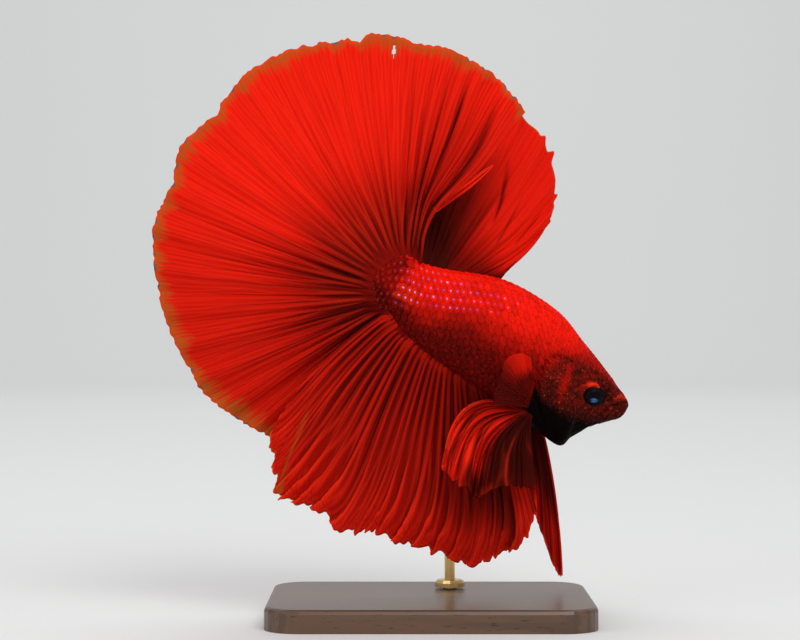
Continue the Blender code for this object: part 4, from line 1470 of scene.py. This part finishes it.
def make_stage():
    """Pale sweep, three softboxes, a light on the backdrop and the camera."""
    stage = bpy.context.scene.betta_stage
    deselect()
    bpy.ops.mesh.primitive_plane_add(size=3.0, location=(0, 0.2, 0))
    sweep = bpy.context.object
    sweep.name = "sweep"
    corner = sweep.data.vertices
    pick(sweep, "edges", lambda edge: all(corner[i].co.y > 1 for i in edge.vertices))
    bpy.ops.mesh.extrude_region_move(TRANSFORM_OT_translate={"value": (0, 0, 2.0)})
    bpy.ops.object.mode_set(mode="OBJECT")
    corner = sweep.data.vertices
    pick(sweep, "edges", lambda edge: all(
        corner[i].co.y > 1 and corner[i].co.z < 0.1 for i in edge.vertices
    ))
    bpy.ops.mesh.bevel(offset=0.6, segments=16, affect="EDGES")
    bpy.ops.object.mode_set(mode="OBJECT")
    bpy.ops.object.shade_smooth()
    sweep.data.materials.append(new_material("Pale sweep", 0.9)[0])
    shader = sweep.data.materials[0].node_tree.nodes["Principled BSDF"]
    shader.inputs["Base Color"].default_value = (*stage.floor, 1.0)
    aim = Vector((0.0, 0.0, 0.042))
    wall = Vector((0.0, 1.7, 0.45))
    for name, place, size, power, target in (
        ("Key softbox", (0.16, -0.42, 0.42), 0.30, stage.key, aim),
        ("Fill softbox", (-0.45, -0.30, 0.18), 0.40, stage.fill, aim),
        ("Top softbox", (-0.05, 0.10, 0.60), 0.45, stage.top, aim),
        ("Backdrop softbox", (0.0, 0.60, 1.10), 0.80, stage.backdrop, wall),
    ):
        bpy.ops.object.light_add(type="AREA", location=place)
        light = bpy.context.object
        light.name = name
        light.data.size = size
        light.data.energy = power
        light.rotation_euler = (target - light.location).to_track_quat("-Z", "Y").to_euler()
    world = bpy.context.scene.world or bpy.data.worlds.new("Studio")
    bpy.context.scene.world = world
    world.use_nodes = True
    sky = world.node_tree.nodes["Background"]
    sky.inputs["Color"].default_value = (0.95, 0.97, 1.0, 1.0)
    sky.inputs["Strength"].default_value = stage.room_light
    bpy.ops.object.camera_add(
        location=(stage.camera_side, -stage.camera_distance, stage.camera_height),
        rotation=(math.radians(90), 0, 0),
    )
    camera = bpy.context.object
    camera.data.lens = stage.lens
    camera.data.sensor_width = 36
    camera.data.clip_start = 0.01
    bpy.context.scene.camera = camera
    bpy.context.scene.view_settings.view_transform = "Standard"


# ---------------------------------------------------------------- settings and operators

def size_setting(name, description, default, low):
    """A size in millimetres, as the script counts them."""
    return FloatProperty(name=name, description=description, default=default, min=low)


def colour_setting(name, default, owner="betta"):
    """A colour of the fish or the stand."""
    return FloatVectorProperty(
        name=name, description=f"The {name.lower()} of the {owner}", default=default,
        subtype="COLOR", size=3, min=0.0, max=1.0,
    )


def count_setting(name, description, default):
    """How many faces or rings a piece has."""
    return IntProperty(name=name, description=description, default=default, min=4)


class BettaBody(bpy.types.PropertyGroup):
    """Sizes of the skin and the scales"""
    head_rings: count_setting("Head rings", "Rings of skin from the mouth to behind the gills", 165)
    trunk_rings: count_setting("Trunk rings", "Rings of skin from the gills to the tail", 80)
    ring_segments: count_setting("Ring segments", "Faces round the body", 256)
    scale_pitch: size_setting("Scale pitch", "Millimetres from scale to scale along a row", 1.0, 0.4)
    scale_row_pitch: size_setting("Scale row pitch", "Millimetres from row to row", 1.25, 0.4)


class BettaFins(bpy.types.PropertyGroup):
    """Sizes of the fins"""
    tail_columns: count_setting("Tail columns", "Faces across the tail fin", 900)
    tail_rows: count_setting("Tail rows", "Faces from the root to the edge of the tail fin", 52)
    thickness: size_setting("Thickness", "Millimetres through a ray outside its root", 0.42, 0.1)


class BettaColours(bpy.types.PropertyGroup):
    """Colours of the fish, with the shade and highlights painted on it"""
    scarlet: colour_setting("Scarlet", (1.0, 0.0115, 0.0034))
    crimson: colour_setting("Crimson", (0.50, 0.0050, 0.0022))
    # Painted shade on the fins, in folds, between rays and over shaded parts.
    fold_shade: colour_setting("Fold shade red", (0.07, 0.0015, 0.0008))
    garnet: colour_setting("Garnet shade", (0.085, 0.0020, 0.0009))
    maroon: colour_setting("Maroon", (0.075, 0.0020, 0.0010))
    # Also the colour of painted highlights on the fins and the brow.
    ember_and_highlight: colour_setting("Ember orange and highlights", (0.96, 0.036, 0.010))
    olive: colour_setting("Olive fringe", (0.40, 0.105, 0.012))
    slate: colour_setting("Slate nicks", (0.10, 0.09, 0.09))
    brown: colour_setting("Face brown", (0.15, 0.0070, 0.0030))
    dark_brown: colour_setting("Dark face brown", (0.045, 0.0032, 0.0015))
    dusk: colour_setting("Deep shadow", (0.016, 0.0025, 0.0012))
    tan: colour_setting("Tan freckles", (0.33, 0.045, 0.022))
    sand: colour_setting("Sand flecks", (0.55, 0.16, 0.08))
    # Also painted shade under the head and behind the gill cover.
    black: colour_setting("Throat black and shade", (0.003, 0.0015, 0.001))
    lavender: colour_setting("Lavender shine", (0.68, 0.44, 0.92))
    violet: colour_setting("Violet shine", (0.26, 0.11, 0.88))
    # The colour of the red highlight painted on the flank.
    flame_highlight: colour_setting("Flame highlight", (1.0, 0.028, 0.008))
    rear_edge: colour_setting("Dimming at the scales' edges", (0.42, 0.42, 0.42))
    pupil: colour_setting("Pupil black", (0.004, 0.003, 0.004))
    iris: colour_setting("Iris brown", (0.022, 0.007, 0.007))
    # A painted reflection in the eye.
    glint: colour_setting("Painted eye glint", (0.06, 0.15, 0.34))


class BettaStand(bpy.types.PropertyGroup):
    """Colours of the stand"""
    late_wood: colour_setting("Dark walnut rings", (0.06, 0.028, 0.014), "stand")
    early_wood: colour_setting("Light walnut rings", (0.11, 0.052, 0.026), "stand")
    pale_wood: colour_setting("Pale walnut bands", (0.2, 0.1, 0.05), "stand")
    pores: colour_setting("Walnut pores", (0.02, 0.009, 0.005), "stand")
    dark_brass: colour_setting("Dark brass", (0.62, 0.40, 0.14), "stand")
    bright_brass: colour_setting("Bright brass", (0.80, 0.56, 0.24), "stand")


class BettaStage(bpy.types.PropertyGroup):
    """Camera, lights and floor"""
    lens: FloatProperty(name="Lens", description="Focal length in millimetres", default=100.0)
    camera_distance: FloatProperty(
        name="Camera distance", description="From the middle of the fish", default=0.3175,
        subtype="DISTANCE", unit="LENGTH",
    )
    camera_height: FloatProperty(
        name="Camera height", description="Above the floor", default=0.0425,
        subtype="DISTANCE", unit="LENGTH",
    )
    camera_side: FloatProperty(
        name="Camera side", description="Left or right of the stand", default=-0.004286,
        subtype="DISTANCE", unit="LENGTH",
    )
    key: FloatProperty(name="Key light", description="Power of the key softbox", default=1.45, unit="POWER")
    fill: FloatProperty(name="Fill light", description="Power of the fill", default=0.53, unit="POWER")
    top: FloatProperty(name="Top light", description="Power of the top softbox", default=1.4, unit="POWER")
    backdrop: FloatProperty(
        name="Backdrop light", description="Power on the sweep", default=7.0, unit="POWER",
    )
    room_light: FloatProperty(name="Room light", description="Strength of the room's light", default=0.42)
    floor: FloatVectorProperty(
        name="Floor", description="Colour of the sweep", default=(0.78, 0.78, 0.77), subtype="COLOR",
    )


class BETTA_OT_skin(bpy.types.Operator):
    """Skin of the head, trunk and tail root"""
    bl_idname = "betta.skin"
    bl_label = "Skin"

    def execute(self, context):
        make_skin()
        return {"FINISHED"}


class BETTA_OT_scales(bpy.types.Operator):
    """Scales in rows over the body and the head"""
    bl_idname = "betta.scales"
    bl_label = "Scales"

    def execute(self, context):
        make_scales()
        return {"FINISHED"}


class BETTA_OT_eyes(bpy.types.Operator):
    """Two dark eyeballs with a blue glint"""
    bl_idname = "betta.eyes"
    bl_label = "Eyes"

    def execute(self, context):
        make_eyes()
        return {"FINISHED"}


class BETTA_OT_tail_fin(bpy.types.Operator):
    """The halfmoon tail fin"""
    bl_idname = "betta.tail_fin"
    bl_label = "Tail fin"

    def execute(self, context):
        make_tail_fin()
        return {"FINISHED"}


class BETTA_OT_dorsal_fin(bpy.types.Operator):
    """The fin on the back"""
    bl_idname = "betta.dorsal_fin"
    bl_label = "Dorsal fin"

    def execute(self, context):
        make_dorsal_fin()
        return {"FINISHED"}


class BETTA_OT_anal_fin(bpy.types.Operator):
    """The long pleated fin under the body"""
    bl_idname = "betta.anal_fin"
    bl_label = "Anal fin"

    def execute(self, context):
        make_anal_fin()
        return {"FINISHED"}


class BETTA_OT_ventral_fins(bpy.types.Operator):
    """The pair of fins under the throat"""
    bl_idname = "betta.ventral_fins"
    bl_label = "Ventral fins"

    def execute(self, context):
        make_ventral_fins()
        return {"FINISHED"}


class BETTA_OT_pectoral_fins(bpy.types.Operator):
    """The pair of half-clear fins behind the gill covers"""
    bl_idname = "betta.pectoral_fins"
    bl_label = "Pectoral fins"

    def execute(self, context):
        make_pectoral_fins()
        return {"FINISHED"}


class BETTA_OT_stand(bpy.types.Operator):
    """Wood and brass finishes of the display stand"""
    bl_idname = "betta.stand"
    bl_label = "Stand finishes"

    def execute(self, context):
        finish_stand()
        return {"FINISHED"}


class BETTA_OT_stage(bpy.types.Operator):
    """Pale sweep, soft lights and the camera"""
    bl_idname = "betta.stage"
    bl_label = "Stage"

    def execute(self, context):
        make_stage()
        return {"FINISHED"}


STEPS = (
    BETTA_OT_stage, BETTA_OT_skin, BETTA_OT_scales, BETTA_OT_eyes, BETTA_OT_tail_fin,
    BETTA_OT_dorsal_fin, BETTA_OT_anal_fin, BETTA_OT_ventral_fins, BETTA_OT_pectoral_fins,
    BETTA_OT_stand,
)
SETTINGS = {
    "betta_body": BettaBody, "betta_fins": BettaFins, "betta_colours": BettaColours,
    "betta_stand": BettaStand, "betta_stage": BettaStage,
}


class BETTA_PT_panel(bpy.types.Panel):
    """Lists the betta's pieces and their settings"""
    bl_idname = "BETTA_PT_panel"
    bl_label = "Halfmoon Betta"
    bl_space_type = "VIEW_3D"
    bl_region_type = "UI"
    bl_category = "Betta"

    def draw(self, context):
        for name, settings in SETTINGS.items():
            box = self.layout.box()
            for field in settings.__annotations__:
                box.prop(getattr(context.scene, name), field)
        for made in STEPS:
            self.layout.operator(made.bl_idname)


def register():
    for settings in (*SETTINGS.values(), *STEPS, BETTA_PT_panel):
        bpy.utils.register_class(settings)
    for name, settings in SETTINGS.items():
        setattr(bpy.types.Scene, name, PointerProperty(type=settings))


def unregister():
    for name in SETTINGS:
        delattr(bpy.types.Scene, name)
    for settings in reversed((*SETTINGS.values(), *STEPS, BETTA_PT_panel)):
        bpy.utils.unregister_class(settings)


def main():
    register()
    for made in STEPS:
        group, name = made.bl_idname.split(".")
        getattr(getattr(bpy.ops, group), name)()


if __name__ == "__main__":
    main()
